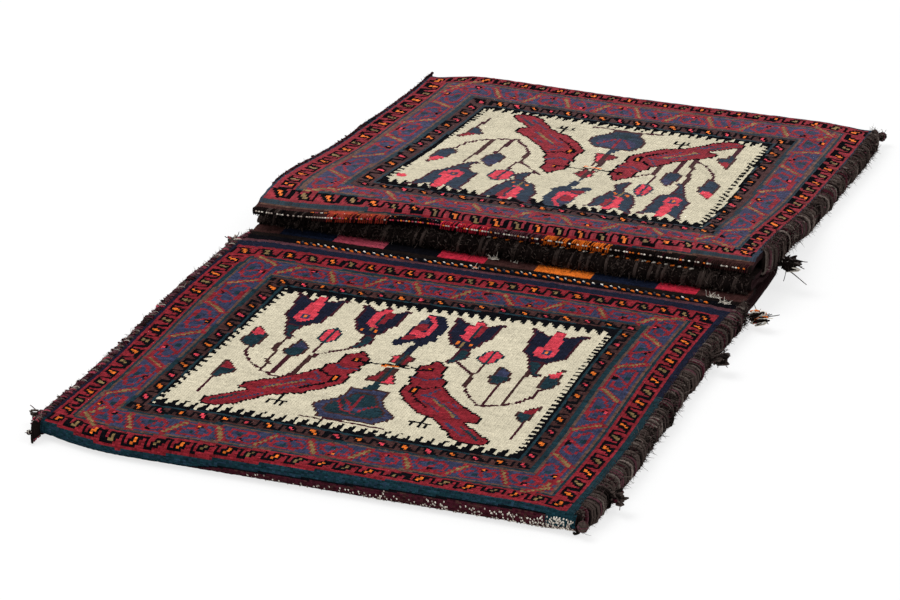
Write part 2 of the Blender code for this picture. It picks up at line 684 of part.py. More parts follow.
def mouth_hem(name, last, before, stitches):
    """Overcast edge round the end of a mouth band, whose last row is last."""
    half = FLAT / 2 + HEM_CLEAR
    across = columns()
    places = [across[0]]
    for place in across[1:]:
        steps = max(1, round((place - places[-1]) / (STRIP_WIDTH / stitches)))
        places += spread(places[-1], place, steps)[1:]
    sections = []
    for i, x in enumerate(places):
        left = max(column for column in across[:-1] if column <= x + 1e-9)
        right = across[across.index(left) + 1]
        share = (x - left) / (right - left)

        def middle_of(row):
            ends = [(on_row(column, row, 1) + on_row(column, row, -1)) / 2 for column in (left, right)]
            return ends[0].lerp(ends[1], share)

        end = middle_of(last)
        out_way = (end - middle_of(before)) * Vector((0.0, 1.0, 1.0))
        out_way.normalize()
        up_way = Vector((0.0, -out_way.z, out_way.y))
        swell = HEM * (1.0 + HEM_RIDGE * (1 if i % 2 else -1))
        corners = [(-HEM_REACH, half), (-HEM_REACH, half + swell * 0.7), (swell * 0.4, half + swell),
                   (HEM_CLEAR + swell, 0.0), (swell * 0.4, -half - swell), (-HEM_REACH, -half - swell * 0.7),
                   (-HEM_REACH, -half), (HEM_CLEAR, -half), (HEM_CLEAR, half)]
        sections.append([end + out_way * out + up_way * up for out, up in corners])
    return loft(name, sections, "goat_hair")


def tuft(name, root, lean, length, width, colour):
    """A fray of loose yarn ends, standing on its root and drawn out to a point."""
    direction = Vector(lean).normalized()
    aside = direction.orthogonal().normalized()
    third = direction.cross(aside)
    sections = []
    for share, girth in ((0.0, 0.10), (0.3, 1.0), (0.7, 0.55), (1.0, 0.10)):
        centre = Vector(root) + direction * length * share + Vector((0.0, 0.0, -0.12 * length * share * share))
        sections.append([centre + (aside * math.cos(a) + third * math.sin(a)) * width / 2 * girth
                         for a in (math.tau * k / 6 for k in range(6))])
    return loft(name, sections, colour)


def side_tuft(name, side, pouch, y, corner, lean, length, width):
    """A fray that grows out of a ridge of a side binding; corner counts down its outer face."""
    sections = binding_sections(side, pouch)
    ridges = [section for i, section in enumerate(sections) if (i + corner) % 2 and 0 < i < len(sections) - 1]
    ridge = min(ridges, key=lambda section: abs(section[0].y - y))
    root = ridge[2 + corner] + Vector((side * 2 * SEAM_GAP, 0.0, 0.0))
    return tuft(name, root, (side * lean[0], lean[1], lean[2]), length, width, "goat_hair")


def corner_knot(name, side, pouch, colour):
    """Knotted end of a binding at the corner of a bottom fold."""
    towards = -1.0 if pouch == "front" else 1.0
    end = binding_sections(side, pouch)[0 if pouch == "front" else -1]
    radius = min(KNOT_RADIUS, (RIGHT_CORD if side > 0 else LEFT_CORD)[0] / 2)
    edge, low, high = edge_at(side, pouch, end[0].y)
    centre = Vector((side * (edge + radius + 2 * SEAM_GAP), end[0].y + towards * (radius + SEAM_GAP),
                     (low + high) / 2))
    mesh = bmesh.new()
    bmesh.ops.create_icosphere(mesh, subdivisions=2, radius=radius)
    for vertex in mesh.verts:
        lump = 1.0 - 0.10 * abs(math.sin(3.0 * math.atan2(vertex.co.y, vertex.co.x)))
        vertex.co = Vector((vertex.co.x * lump, vertex.co.y, vertex.co.z * lump)) + centre
    return new_object(name, mesh, [colour])


def centre_things():
    """Moves the bag so that the origin is at the middle of its box, at the bottom."""
    things = [thing for thing in bpy.data.objects if thing.type == "MESH"]
    corners = [vertex.co for thing in things for vertex in thing.data.vertices]
    low = Vector([min(corner[axis] for corner in corners) for axis in range(3)])
    high = Vector([max(corner[axis] for corner in corners) for axis in range(3)])
    for thing in things:
        thing.location = (-(low.x + high.x) / 2, -(low.y + high.y) / 2, -low.z)


def build():
    clear_scene()
    woven_strip()
    for pouch in ("front", "rear"):
        loft(pouch + "_left_binding", binding_sections(-1, pouch), "goat_hair")
        loft(pouch + "_right_binding", binding_sections(1, pouch), "goat_hair")
    rows, _ = strip_rows()
    mouth_hem("front_mouth_hem", rows[0], rows[1], 18)
    mouth_hem("rear_mouth_hem", rows[-1], rows[-2], 18)
    side_tuft("fray_right_front", 1, "front", -0.14, 1, (0.9, 0.3, 0.25), 0.016, 0.010)
    side_tuft("fray_right_fold", 1, "front", -0.44, 1, (0.9, -0.3, 0.0), 0.011, 0.008)
    side_tuft("fray_right_mouth", 1, "front", -0.012, 1, (0.9, 0.3, 0.2), 0.015, 0.010)
    side_tuft("fray_right_rear", 1, "rear", 0.085, 2, (0.9, -0.2, 0.1), 0.020, 0.011)
    side_tuft("fray_left_mouth", -1, "front", -0.015, 1, (0.9, 0.3, 0.2), 0.010, 0.006)
    side_tuft("fray_left_fold", -1, "front", -0.46, 1, (0.9, -0.4, 0.0), 0.010, 0.006)
    corner_knot("front_left_knot", -1, "front", "cotton")
    corner_knot("front_right_knot", 1, "front", "goat_hair")
    corner_knot("rear_left_knot", -1, "rear", "goat_hair")
    corner_knot("rear_right_knot", 1, "rear", "goat_hair")
    centre_things()


build()
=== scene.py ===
"""Looks of the saddle bag: knotted pile faces, flat-woven bands, bridge and backs, cords, hems and frays."""
import math

import bmesh
import bpy
import numpy as np
from mathutils import Matrix, Vector


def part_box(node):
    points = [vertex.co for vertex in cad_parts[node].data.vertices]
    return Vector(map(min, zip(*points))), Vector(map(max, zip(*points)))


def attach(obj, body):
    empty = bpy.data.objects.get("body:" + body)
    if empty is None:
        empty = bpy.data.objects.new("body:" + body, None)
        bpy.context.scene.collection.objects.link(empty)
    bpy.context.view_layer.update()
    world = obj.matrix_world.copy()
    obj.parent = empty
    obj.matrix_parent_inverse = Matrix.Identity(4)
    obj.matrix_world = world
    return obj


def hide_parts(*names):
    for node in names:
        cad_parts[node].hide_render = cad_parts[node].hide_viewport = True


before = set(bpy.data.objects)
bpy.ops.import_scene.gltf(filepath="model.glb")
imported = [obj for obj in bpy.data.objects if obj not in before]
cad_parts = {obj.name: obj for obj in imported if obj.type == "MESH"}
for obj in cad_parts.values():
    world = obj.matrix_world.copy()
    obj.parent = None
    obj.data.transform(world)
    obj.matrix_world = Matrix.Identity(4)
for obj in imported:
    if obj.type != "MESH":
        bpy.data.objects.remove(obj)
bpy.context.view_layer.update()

# Sizes of the woven strip, in metres, as its solid has them
STRIP_WIDTH = 0.528
FOLD_Y = 0.513
FACE = 0.0070
FLAT = 0.0045
POUCH_GAP = 0.0080
FRONT_PILE = 0.4812
REAR_PILE = 0.4640
FRONT_BAND = 0.060
REAR_BAND = 0.017
BRIDGE_START_Y = 0.030
BRIDGE_TURN_Y = 0.125
CLIMB = 0.028
NOSE_Y = 0.022
NOSE_RADIUS = 0.0055
NOSE_END_Y = 0.092
DESCENT_END_Y = 0.26
REAR_RISE_Y = 0.30
THINNING = 0.0035
REAR_BAND_FALL = 0.0016
LAYER_GAP = 0.0008
SEAM_GAP = 0.0003
REAR_MOUTH_RISE = 0.0305
DROOP = 0.016
DROOP_FALL = 0.007
NOSE_THIN = 0.005
EDGE_LIFT = 0.0022
EDGE_DROP = 0.0012
WAVE = 0.0022
SELVEDGE = 0.010
HEM = 0.0012
HEM_RIDGE = 0.25
HEM_CLEAR = 0.0005
FRONT_SEAM_END = 0.004
REAR_SEAM_END = 0.062

# Heights of the layers, worked out upwards from the ground
BACK_Z = FLAT / 2
FACE_Z = FLAT + POUCH_GAP + FACE / 2
BAND_Z = FLAT + POUCH_GAP + FLAT / 2
TURN_RADIUS = (BAND_Z - BACK_Z) / 2
FOLD_RADIUS = (FACE_Z - BACK_Z) / 2
FOLD_CENTRE_Y = FOLD_Y - FOLD_RADIUS - (FACE + FLAT) / 4
FRONT_HEM_Y = -FOLD_CENTRE_Y + FRONT_PILE + FRONT_BAND
OVER_HEM_Z = BAND_Z + FLAT + HEM * (1.0 + HEM_RIDGE) + HEM_CLEAR + SEAM_GAP
NOSE_TOP_Z = OVER_HEM_Z + 2 * NOSE_RADIUS
LEG_Z = BAND_Z + FLAT + LAYER_GAP
NOSE_CENTRE_Y = NOSE_Y + NOSE_RADIUS + FLAT / 2
CLIMB_START_Y = FRONT_HEM_Y + HEM + 0.006
CLIMB_END_Y = CLIMB_START_Y + CLIMB
REAR_GUARD_Y = FOLD_CENTRE_Y - REAR_PILE

# Weave: knots across and along the faces
KNOT = 0.0028
KNOTS_ACROSS = 188
FRONT_KNOTS = 172
REAR_KNOTS = 166
BAND_KNOTS = 22
LIP_KNOTS = 5
FOLD_STEPS = 24
FOLD_KNOTS = 7
FOLD_ARC = 0.032

# Rows of the stretches without a pattern
BACK_ROWS = 60
UNDER_ROWS = 10
UNDER_TURN_ROWS = 8
MIDDLE_ROWS = 6
CLIMB_ROWS = 8
NOSE_TURN_ROWS = 14
NOSE_ROWS = 24
DESCENT_ROWS = 16
REAR_BACK_ROWS = 32
REAR_FOLD_STEPS = 12

# Dye colours of the wool, as light values
DYES = {
    "cream": (0.69, 0.625, 0.465),
    "red": (0.225, 0.016, 0.024),
    "pink": (0.62, 0.050, 0.075),
    "rose": (0.37, 0.055, 0.085),
    "maroon": (0.045, 0.008, 0.014),
    "blue": (0.034, 0.041, 0.086),
    "navy": (0.0065, 0.0100, 0.0240),
    "slate": (0.014, 0.034, 0.055),
    "teal": (0.008, 0.030, 0.040),
    "black": (0.0032, 0.0032, 0.0050),
    "brown": (0.052, 0.021, 0.019),
    "tan": (0.21, 0.135, 0.055),
    "drab": (0.11, 0.058, 0.044),
    "mauve": (0.095, 0.036, 0.046),
    "crimson": (0.48, 0.022, 0.045),
    "orange": (0.72, 0.16, 0.020),
    "rust": (0.36, 0.050, 0.030),
    "goat": (0.010, 0.0068, 0.0062),
    "umber": (0.058, 0.042, 0.037),
    "ash": (0.14, 0.112, 0.098),
    "grey": (0.075, 0.060, 0.056),
    "cotton": (0.70, 0.65, 0.57),
    "dull": (0.36, 0.30, 0.26),
    "backing": (0.022, 0.010, 0.011),
}
DYE_NAMES = list(DYES)
DYE_VALUES = np.array([DYES[name] for name in DYE_NAMES])
# The pale bloom on worn pile, stronger on the rear face
HAZE = np.array((1.0, 0.70, 0.80))
FRONT_HAZE = 0.005
REAR_HAZE = 0.026


def dye(name):
    return DYE_NAMES.index(name)


def ease(t):
    t = np.clip(t, 0.0, 1.0)
    return t * t * (3.0 - 2.0 * t)


# The strip's shape


def lower_bridge_z(y):
    return BAND_Z + (OVER_HEM_Z - BAND_Z) * ease((CLIMB_END_Y - y) / (CLIMB_END_Y - CLIMB_START_Y))


def upper_bridge_z(y):
    if y < BRIDGE_TURN_Y:
        drop = ease((y - NOSE_CENTRE_Y) / (NOSE_END_Y - NOSE_CENTRE_Y))
        return NOSE_TOP_Z + (LEG_Z - NOSE_TOP_Z) * drop
    return LEG_Z + (BACK_Z - LEG_Z) * ease((y - BRIDGE_TURN_Y) / (DESCENT_END_Y - BRIDGE_TURN_Y))


def rear_face_z(y):
    return FACE_Z + REAR_MOUTH_RISE * ease((REAR_RISE_Y - y) / (REAR_RISE_Y - REAR_GUARD_Y))


def rear_band_z(y):
    share = (REAR_GUARD_Y - y) / REAR_BAND
    return rear_face_z(y) - (FACE - FLAT) / 2 - REAR_BAND_FALL * share


class Row:
    """One row across the strip: middle of its thickness, half thickness, layer, and the stretch it is in."""

    def __init__(self, y, z, half, layer, stretch):
        self.y = y
        self.z = z
        self.half = half
        self.layer = layer
        self.stretch = stretch
        self.normal = (0.0, 1.0)
        self.arc = 0.0


def spread(start, end, count):
    return [start + (end - start) * i / count for i in range(count + 1)]


def turn(centre_y, centre_z, radius, start, end, count, half_start, half_end, layers, stretch):
    rows = []
    for i in range(1, count):
        share = i / count
        angle = math.radians(start + (end - start) * share)
        half = half_start + (half_end - half_start) * share
        y = centre_y + radius * math.cos(angle)
        z = centre_z + radius * math.sin(angle)
        rows.append(Row(y, z, half, (layers[0], layers[1], share), stretch))
    return rows


def strip_rows():
    """Every row of the strip, from the front hem to the rear hem."""
    rows = []
    flat = FLAT / 2
    middle = (FACE_Z + BACK_Z) / 2
    turn_y = BRIDGE_TURN_Y - TURN_RADIUS

    def leg(stretch, ys, height, half, layer):
        for y in ys:
            rows.append(Row(y, float(height(y)), half, (layer, layer, 0.0), stretch))

    band_end = FRONT_HEM_Y - FRONT_BAND
    leg("front_band", spread(FRONT_HEM_Y, band_end, BAND_KNOTS), lambda y: BAND_Z, flat, "front_face")
    pile = spread(band_end - THINNING, -FOLD_CENTRE_Y, FRONT_KNOTS)
    leg("front_face", pile, lambda y: FACE_Z, FACE / 2, "front_face")
    rows += turn(-FOLD_CENTRE_Y, middle, FOLD_RADIUS, 90, 270, FOLD_STEPS, FACE / 2, flat,
                 ("front_face", "front_back"), "front_fold")
    leg("front_back", spread(-FOLD_CENTRE_Y, FRONT_SEAM_END, BACK_ROWS), lambda y: BACK_Z, flat, "front_back")
    leg("bridge_under", spread(BRIDGE_START_Y, turn_y, UNDER_ROWS), lambda y: BACK_Z, flat, "bridge")
    rows += turn(turn_y, (BAND_Z + BACK_Z) / 2, TURN_RADIUS, -90, 90, UNDER_TURN_ROWS, flat, flat,
                 ("bridge", "bridge"), "bridge_under")
    leg("bridge_middle", spread(turn_y, CLIMB_END_Y, MIDDLE_ROWS), lower_bridge_z, flat, "bridge")
    climb = spread(CLIMB_END_Y, CLIMB_START_Y, CLIMB_ROWS)[1:] + [NOSE_CENTRE_Y]
    leg("bridge_middle", climb, lower_bridge_z, flat, "bridge")
    nose_z = (OVER_HEM_Z + NOSE_TOP_Z) / 2
    rows += turn(NOSE_CENTRE_Y, nose_z, NOSE_RADIUS, 270, 90, NOSE_TURN_ROWS, flat, flat,
                 ("bridge", "rear_back"), "nose")
    leg("nose", spread(NOSE_CENTRE_Y, NOSE_END_Y, NOSE_ROWS), upper_bridge_z, flat, "rear_back")
    leg("descent", spread(BRIDGE_TURN_Y, DESCENT_END_Y, DESCENT_ROWS), upper_bridge_z, flat, "rear_back")
    back = spread(DESCENT_END_Y + 0.01, FOLD_CENTRE_Y, REAR_BACK_ROWS)
    leg("rear_back", back, lambda y: BACK_Z, flat, "rear_back")
    rows += turn(FOLD_CENTRE_Y, middle, FOLD_RADIUS, -90, 90, REAR_FOLD_STEPS, flat, FACE / 2,
                 ("rear_back", "rear_face"), "rear_fold")
    leg("rear_face", spread(FOLD_CENTRE_Y, REAR_GUARD_Y, REAR_KNOTS), rear_face_z, FACE / 2, "rear_face")
    lip = spread(REAR_GUARD_Y - THINNING, REAR_GUARD_Y - REAR_BAND, LIP_KNOTS)
    leg("rear_band", lip, rear_band_z, flat, "rear_face")
    for i, row in enumerate(rows):
        before = rows[max(0, i - 1)]
        after = rows[min(len(rows) - 1, i + 1)]
        run = math.hypot(after.y - before.y, after.z - before.z)
        row.normal = ((after.z - before.z) / run, -(after.y - before.y) / run)
        row.arc = before.arc + math.hypot(row.y - before.y, row.z - before.z)
    return rows


def edge_share(x):
    return ease((np.abs(x) - (STRIP_WIDTH / 2 - SELVEDGE - 0.020)) / 0.019)


def waves(x, y):
    inside = 1.0 - ease((np.abs(x) - 0.20) / 0.05)
    swell = np.sin(13.0 * x + 9.0 * y + 0.6) + 0.7 * np.sin(21.0 * y - 7.0 * x + 2.0)
    return WAVE * inside * (1.0 + 0.55 * swell)


def left_share(x):
    return ease((-x - 0.07) / 0.17)


def nose_swell(x):
    return -NOSE_THIN * ease((-x - 0.02) / 0.20) - 0.6 * NOSE_THIN * ease((x - 0.16) / 0.10)


def one_layer_lift(x, y, layer):
    front = ease((FRONT_SEAM_END + 0.012 - y) / 0.010)
    rear = ease((y - REAR_SEAM_END + 0.012) / 0.010)
    if layer == "front_face":
        return waves(x, y) * ease((-0.01 - y) / 0.06) - EDGE_DROP * edge_share(x) * front
    if layer == "front_back":
        return EDGE_LIFT * edge_share(x) * front
    if layer == "rear_face":
        fall = DROOP_FALL * left_share(x) * ease((0.075 - y) / 0.05)
        return waves(x, y) * ease((y - 0.03) / 0.06) - fall - EDGE_DROP * edge_share(x) * rear
    if layer == "rear_back":
        swell = nose_swell(x) * (1.0 - ease((y - 0.03) / 0.05))
        return EDGE_LIFT * edge_share(x) * rear + swell
    return x * 0.0


def settled(x, y, z):
    left = ease(-x / 0.26)
    corner = ease((-x - 0.15) / 0.12)
    near_end = 0.016 * ease((-y - 0.36) / 0.15)
    far_end = 0.010 * ease((y - 0.40) / 0.11)
    x_in = 0.010 * left * ease((y - 0.24) / 0.24)
    x_wave = 0.0025 * np.sin(15.0 * y + 0.8) * ease(np.abs(x) / 0.26)
    return np.stack([x + x_in + x_wave, y + corner * corner * (near_end - far_end), z], axis=-1)


def on_row(x, row, side, lift=0.0):
    """Points on the outer (side 1) or inner (side -1) surface at places x across the strip."""
    x = np.asarray(x, dtype=float)
    reach = row.half * side + lift
    y = row.y + row.normal[0] * reach
    z = row.z + row.normal[1] * reach
    first, second, share = row.layer
    z = z + one_layer_lift(x, row.y, first) * (1.0 - share) + one_layer_lift(x, row.y, second) * share
    if second == "rear_face" and row.y <= 0.2:
        y = y - DROOP * left_share(x) * ease((0.075 - row.y) / 0.05)
    return settled(x, y + x * 0.0, z)


ROWS = strip_rows()
LEFT_EDGE_X = min(float(on_row(-STRIP_WIDTH / 2, row, 1)[0]) for row in ROWS)
BAG_SHIFT = np.array([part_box("woven_strip")[0][0] - LEFT_EDGE_X, 0.0, 0.0])


def stretch_rows(*names):
    return [row for row in ROWS if row.stretch in names]


# Finishes


def new_group(name, inputs, outputs):
    group = bpy.data.node_groups.new(name, "ShaderNodeTree")
    for kind, socket, value in inputs:
        group.interface.new_socket(socket, in_out="INPUT", socket_type=kind).default_value = value
    for kind, socket in outputs:
        group.interface.new_socket(socket, in_out="OUTPUT", socket_type=kind)
    return group


class Nodes:
    """Short ways to add nodes to one tree; what an input is given is a value or another node's output."""

    def __init__(self, tree):
        self.tree = tree

    def give(self, value, into):
        if isinstance(value, bpy.types.NodeSocket):
            self.tree.links.new(value, into)
        else:
            into.default_value = value

    def add(self, kind, **settings):
        node = self.tree.nodes.new(kind)
        for key, value in settings.items():
            if key in node.inputs:
                self.give(value, node.inputs[key])
            else:
                setattr(node, key, value)
        return node

    def reckon(self, operation, *values, kind="ShaderNodeMath"):
        """The result of one operation on numbers, or on vectors."""
        node = self.add(kind, operation=operation)
        for value, into in zip(values, node.inputs):
            self.give(value, into)
        return node.outputs[0]


DUST_COLOUR = (0.30, 0.25, 0.22, 1.0)


def wool_wear_group():
    """Uneven dye, dusty wear and fuzz of hand-spun wool; puts out a colour and a height."""
    group = new_group("wool_wear", [("NodeSocketColor", "Color", (0.5, 0.5, 0.5, 1.0)),
                                    ("NodeSocketFloat", "Unevenness", 0.25),
                                    ("NodeSocketFloat", "Dust", 0.10),
                                    ("NodeSocketFloat", "Fuzz Scale", 900.0),
                                    ("NodeSocketFloat", "Stretch", 0.35)],
                      [("NodeSocketColor", "Color"), ("NodeSocketFloat", "Height")])
    n = Nodes(group)
    given = n.add("NodeGroupInput").outputs
    place = n.add("ShaderNodeTexCoord").outputs["Object"]
    long_way = n.add("ShaderNodeCombineXYZ", X=1.0, Y=given["Stretch"], Z=1.0)
    stretched = n.reckon("MULTIPLY", place, long_way.outputs["Vector"], kind="ShaderNodeVectorMath")
    fuzz = n.add("ShaderNodeTexNoise", Vector=stretched, Scale=given["Fuzz Scale"], Detail=3.0,
                 Roughness=0.65)
    batches = n.add("ShaderNodeTexNoise", Vector=place, Scale=28.0, Detail=4.0, Roughness=0.6)
    both = n.reckon("ADD", fuzz.outputs["Fac"], batches.outputs["Fac"])
    swing = n.reckon("MULTIPLY_ADD", n.reckon("SUBTRACT", both, 1.0), given["Unevenness"], 1.0)
    shade = n.add("ShaderNodeVectorMath", operation="SCALE", Scale=swing)
    n.give(given["Color"], shade.inputs[0])
    worn = n.add("ShaderNodeTexNoise", Vector=place, Scale=9.0, Detail=6.0, Roughness=0.7)
    spots = n.add("ShaderNodeMapRange", interpolation_type="SMOOTHSTEP", Value=worn.outputs["Fac"])
    n.give(0.45, spots.inputs["From Min"])
    n.give(0.75, spots.inputs["From Max"])
    amount = n.reckon("MULTIPLY", spots.outputs["Result"], given["Dust"])
    dusty = n.add("ShaderNodeMix", data_type="RGBA", Factor=amount, A=shade.outputs["Vector"], B=DUST_COLOUR)
    n.add("NodeGroupOutput", Color=dusty.outputs["Result"], Height=fuzz.outputs["Fac"])
    return group


def rib_group():
    """Rows of weft over warps, on the strip's own UV in metres; puts out a height."""
    group = new_group("woven_ribs", [("NodeSocketFloat", "Weft Pitch", 0.0011),
                                     ("NodeSocketFloat", "Warp Pitch", 0.0028)],
                      [("NodeSocketFloat", "Height")])
    n = Nodes(group)
    given = n.add("NodeGroupInput").outputs
    uv = n.add("ShaderNodeUVMap", uv_map="weave")
    apart = n.add("ShaderNodeSeparateXYZ", Vector=uv.outputs["UV"]).outputs
    waves_made = []
    for axis, pitch in (("X", "Warp Pitch"), ("Y", "Weft Pitch")):
        turns = n.reckon("DIVIDE", apart[axis], given[pitch])
        waves_made.append(n.reckon("SINE", n.reckon("MULTIPLY", turns, math.tau)))
    n.add("NodeGroupOutput", Height=n.reckon("MULTIPLY_ADD", n.reckon("ADD", *waves_made), 0.25, 0.5))
    return group


WOOL_WEAR = wool_wear_group()
WOVEN_RIBS = rib_group()


def woollen(name, unevenness, dust, fuzz_scale, stretch, bump, ribs=None):
    """Wool that takes its dye from the piece's own colour attribute; ribs are its weft and warp pitch."""
    material = bpy.data.materials.new(name)
    material.use_nodes = True
    n = Nodes(material.node_tree)
    dyed = n.add("ShaderNodeAttribute", attribute_name="dye")
    wear = n.add("ShaderNodeGroup", node_tree=WOOL_WEAR, Unevenness=unevenness, Dust=dust, Stretch=stretch,
                 Color=dyed.outputs["Color"])
    n.give(fuzz_scale, wear.inputs["Fuzz Scale"])
    height = wear.outputs["Height"]
    if ribs:
        ribbed = n.add("ShaderNodeGroup", node_tree=WOVEN_RIBS)
        for pitch, socket in zip(ribs, ("Weft Pitch", "Warp Pitch")):
            n.give(pitch, ribbed.inputs[socket])
        height = n.reckon("ADD", height, ribbed.outputs["Height"])
    relief = n.add("ShaderNodeBump", Strength=0.8, Distance=bump, Height=height)
    shader = material.node_tree.nodes["Principled BSDF"].inputs
    for socket, value in (("Roughness", 0.97), ("Specular IOR Level", 0.02),
                          ("Base Color", wear.outputs["Color"]), ("Normal", relief.outputs["Normal"])):
        n.give(value, shader[socket])
    return material


PILE = woollen("knotted_pile", 0.40, 0.006, 900.0, 0.5, 0.0016, ribs=(KNOT, KNOT))
FLATWEAVE = woollen("flat_weave", 0.50, 0.010, 900.0, 0.5, 0.0010, ribs=(0.0011, 0.0028))
GOAT_HAIR = woollen("goat_hair", 0.9, 0.006, 1300.0, 0.2, 0.0018, ribs=(0.0024, 0.0030))
CORD_YARN = woollen("cord_yarn", 0.8, 0.008, 1400.0, 0.4, 0.0006)


# Meshes


def mesh_piece(name, points, faces, colours, materials, replaces, uv=None, kinds=None):
    """A closed piece: each face has a colour and the number of its material, each point its UV place."""
    data = bpy.data.meshes.new(name)
    data.from_pydata([tuple(point) for point in points], [], [tuple(face) for face in faces])
    for material in materials:
        data.materials.append(material)
    if kinds:
        data.polygons.foreach_set("material_index", kinds)
    sizes = np.empty(len(data.polygons), dtype=int)
    data.polygons.foreach_get("loop_total", sizes)
    layer = data.color_attributes.new("dye", "FLOAT_COLOR", "CORNER")
    rgba = np.ones((len(data.loops), 4))
    rgba[:, :3] = np.repeat(np.asarray(colours, dtype=float), sizes, axis=0)
    layer.data.foreach_set("color", rgba.ravel())
    if uv:
        corner = np.empty(len(data.loops), dtype=int)
        data.loops.foreach_get("vertex_index", corner)
        weave = data.uv_layers.new(name="weave")
        weave.data.foreach_set("uv", np.asarray(uv, dtype=float)[corner].ravel())
    data.polygons.foreach_set("use_smooth", [True] * len(data.polygons))
    data.update()
    thing = bpy.data.objects.new(name, data)
    bpy.context.collection.objects.link(thing)
    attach(thing, "root")
    if replaces:
        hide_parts(*replaces)
    turn_outward(data)
    return thing


def turn_outward(data):
    """Turns the faces of a closed mesh to point outwards."""
    mesh = bmesh.new()
    mesh.from_mesh(data)
    bmesh.ops.recalc_face_normals(mesh, faces=mesh.faces)
    mesh.to_mesh(data)
    mesh.free()


def zip_rows(first, second):
    """Triangles between two runs of points, each a list of (place along, index)."""
    faces = []
    i = 0
    j = 0
    while i < len(first) - 1 or j < len(second) - 1:
        step_first = first[i + 1][0] if i < len(first) - 1 else math.inf
        step_second = second[j + 1][0] if j < len(second) - 1 else math.inf
        if step_first <= step_second:
            faces.append((first[i][1], first[i + 1][1], second[j][1]))
            i += 1
        else:
            faces.append((first[i][1], second[j + 1][1], second[j][1]))
            j += 1
    return faces


# The pattern is drawn in steps of the weaver's drawing. These are the places of the drawing's lines on each
# face, in metres: across from the middle, and along from the bottom fold.
MIRROR_LINE = 912
FRONT_ACROSS = (
    (418, ((166, -0.2585), (407, -0.1646), (650, -0.0868), (906, -0.0013), (1150, 0.0837), (1405, 0.1743),
           (1642, 0.2520))),
    (1192, ((166, -0.2585), (407, -0.1795), (650, -0.0951), (906, -0.0054), (1150, 0.0812), (1405, 0.1745),
            (1642, 0.2520))),
)
FRONT_ALONG = ((110, 0.480), (150, 0.465), (228, 0.436), (332, 0.405), (418, 0.3777), (620, 0.3044),
               (805, 0.2317), (1000, 0.1541), (1192, 0.0780), (1420, -0.005))
# How far the places across the front face lie off its rows, along the bag
FRONT_TILT = ((166, 0.0), (407, -0.009), (650, -0.0045), (906, 0.0), (1150, 0.0030), (1405, 0.0050),
              (1642, 0.004))
REAR_ACROSS = (
    (418, ((166, -0.2590), (407, -0.1872), (652, -0.1030), (909, -0.0141), (1156, 0.0733), (1405, 0.1623),
           (1642, 0.2600))),
    (715, ((166, -0.2590), (407, -0.1743), (652, -0.0893), (909, -0.0018), (1156, 0.0812), (1405, 0.1659),
           (1642, 0.2600))),
    (1192, ((166, -0.2590), (407, -0.1719), (652, -0.0913), (909, -0.0073), (1156, 0.0746), (1405, 0.1589),
            (1642, 0.2610))),
)
REAR_ALONG = ((110, 0.477), (150, 0.464), (222, 0.447), (332, 0.424), (418, 0.3950), (513, 0.3439),
              (614, 0.2902), (715, 0.2440), (810, 0.2082), (916, 0.1741), (1016, 0.1421), (1117, 0.1109),
              (1192, 0.0887), (1420, -0.002))
# How much of a face's tilt each row of the drawing takes
TILT_SHARE = ((150, 0.0), (332, 1.0), (1266, 1.0), (1420, 1.2))
# How far the sagging face carries the rows of the drawing towards the mouth at its middle
REAR_BELLY = ((150, 0.012), (222, 0.010), (418, 0.006), (810, 0.0), (1192, -0.005), (1420, 0.0))
BELLY_MIDDLE = -0.025
BELLY_REACH = 0.19
# A table for a face with no belly or no tilt
LEVEL = ((0, 0.0), (1, 0.0))
# Width of one step of a drawn line, and the middles of the knots across a face
LINE_STEP = 0.000355
KNOT_PLACES = (np.arange(KNOTS_ACROSS) + 0.5) / KNOTS_ACROSS * STRIP_WIDTH - STRIP_WIDTH / 2


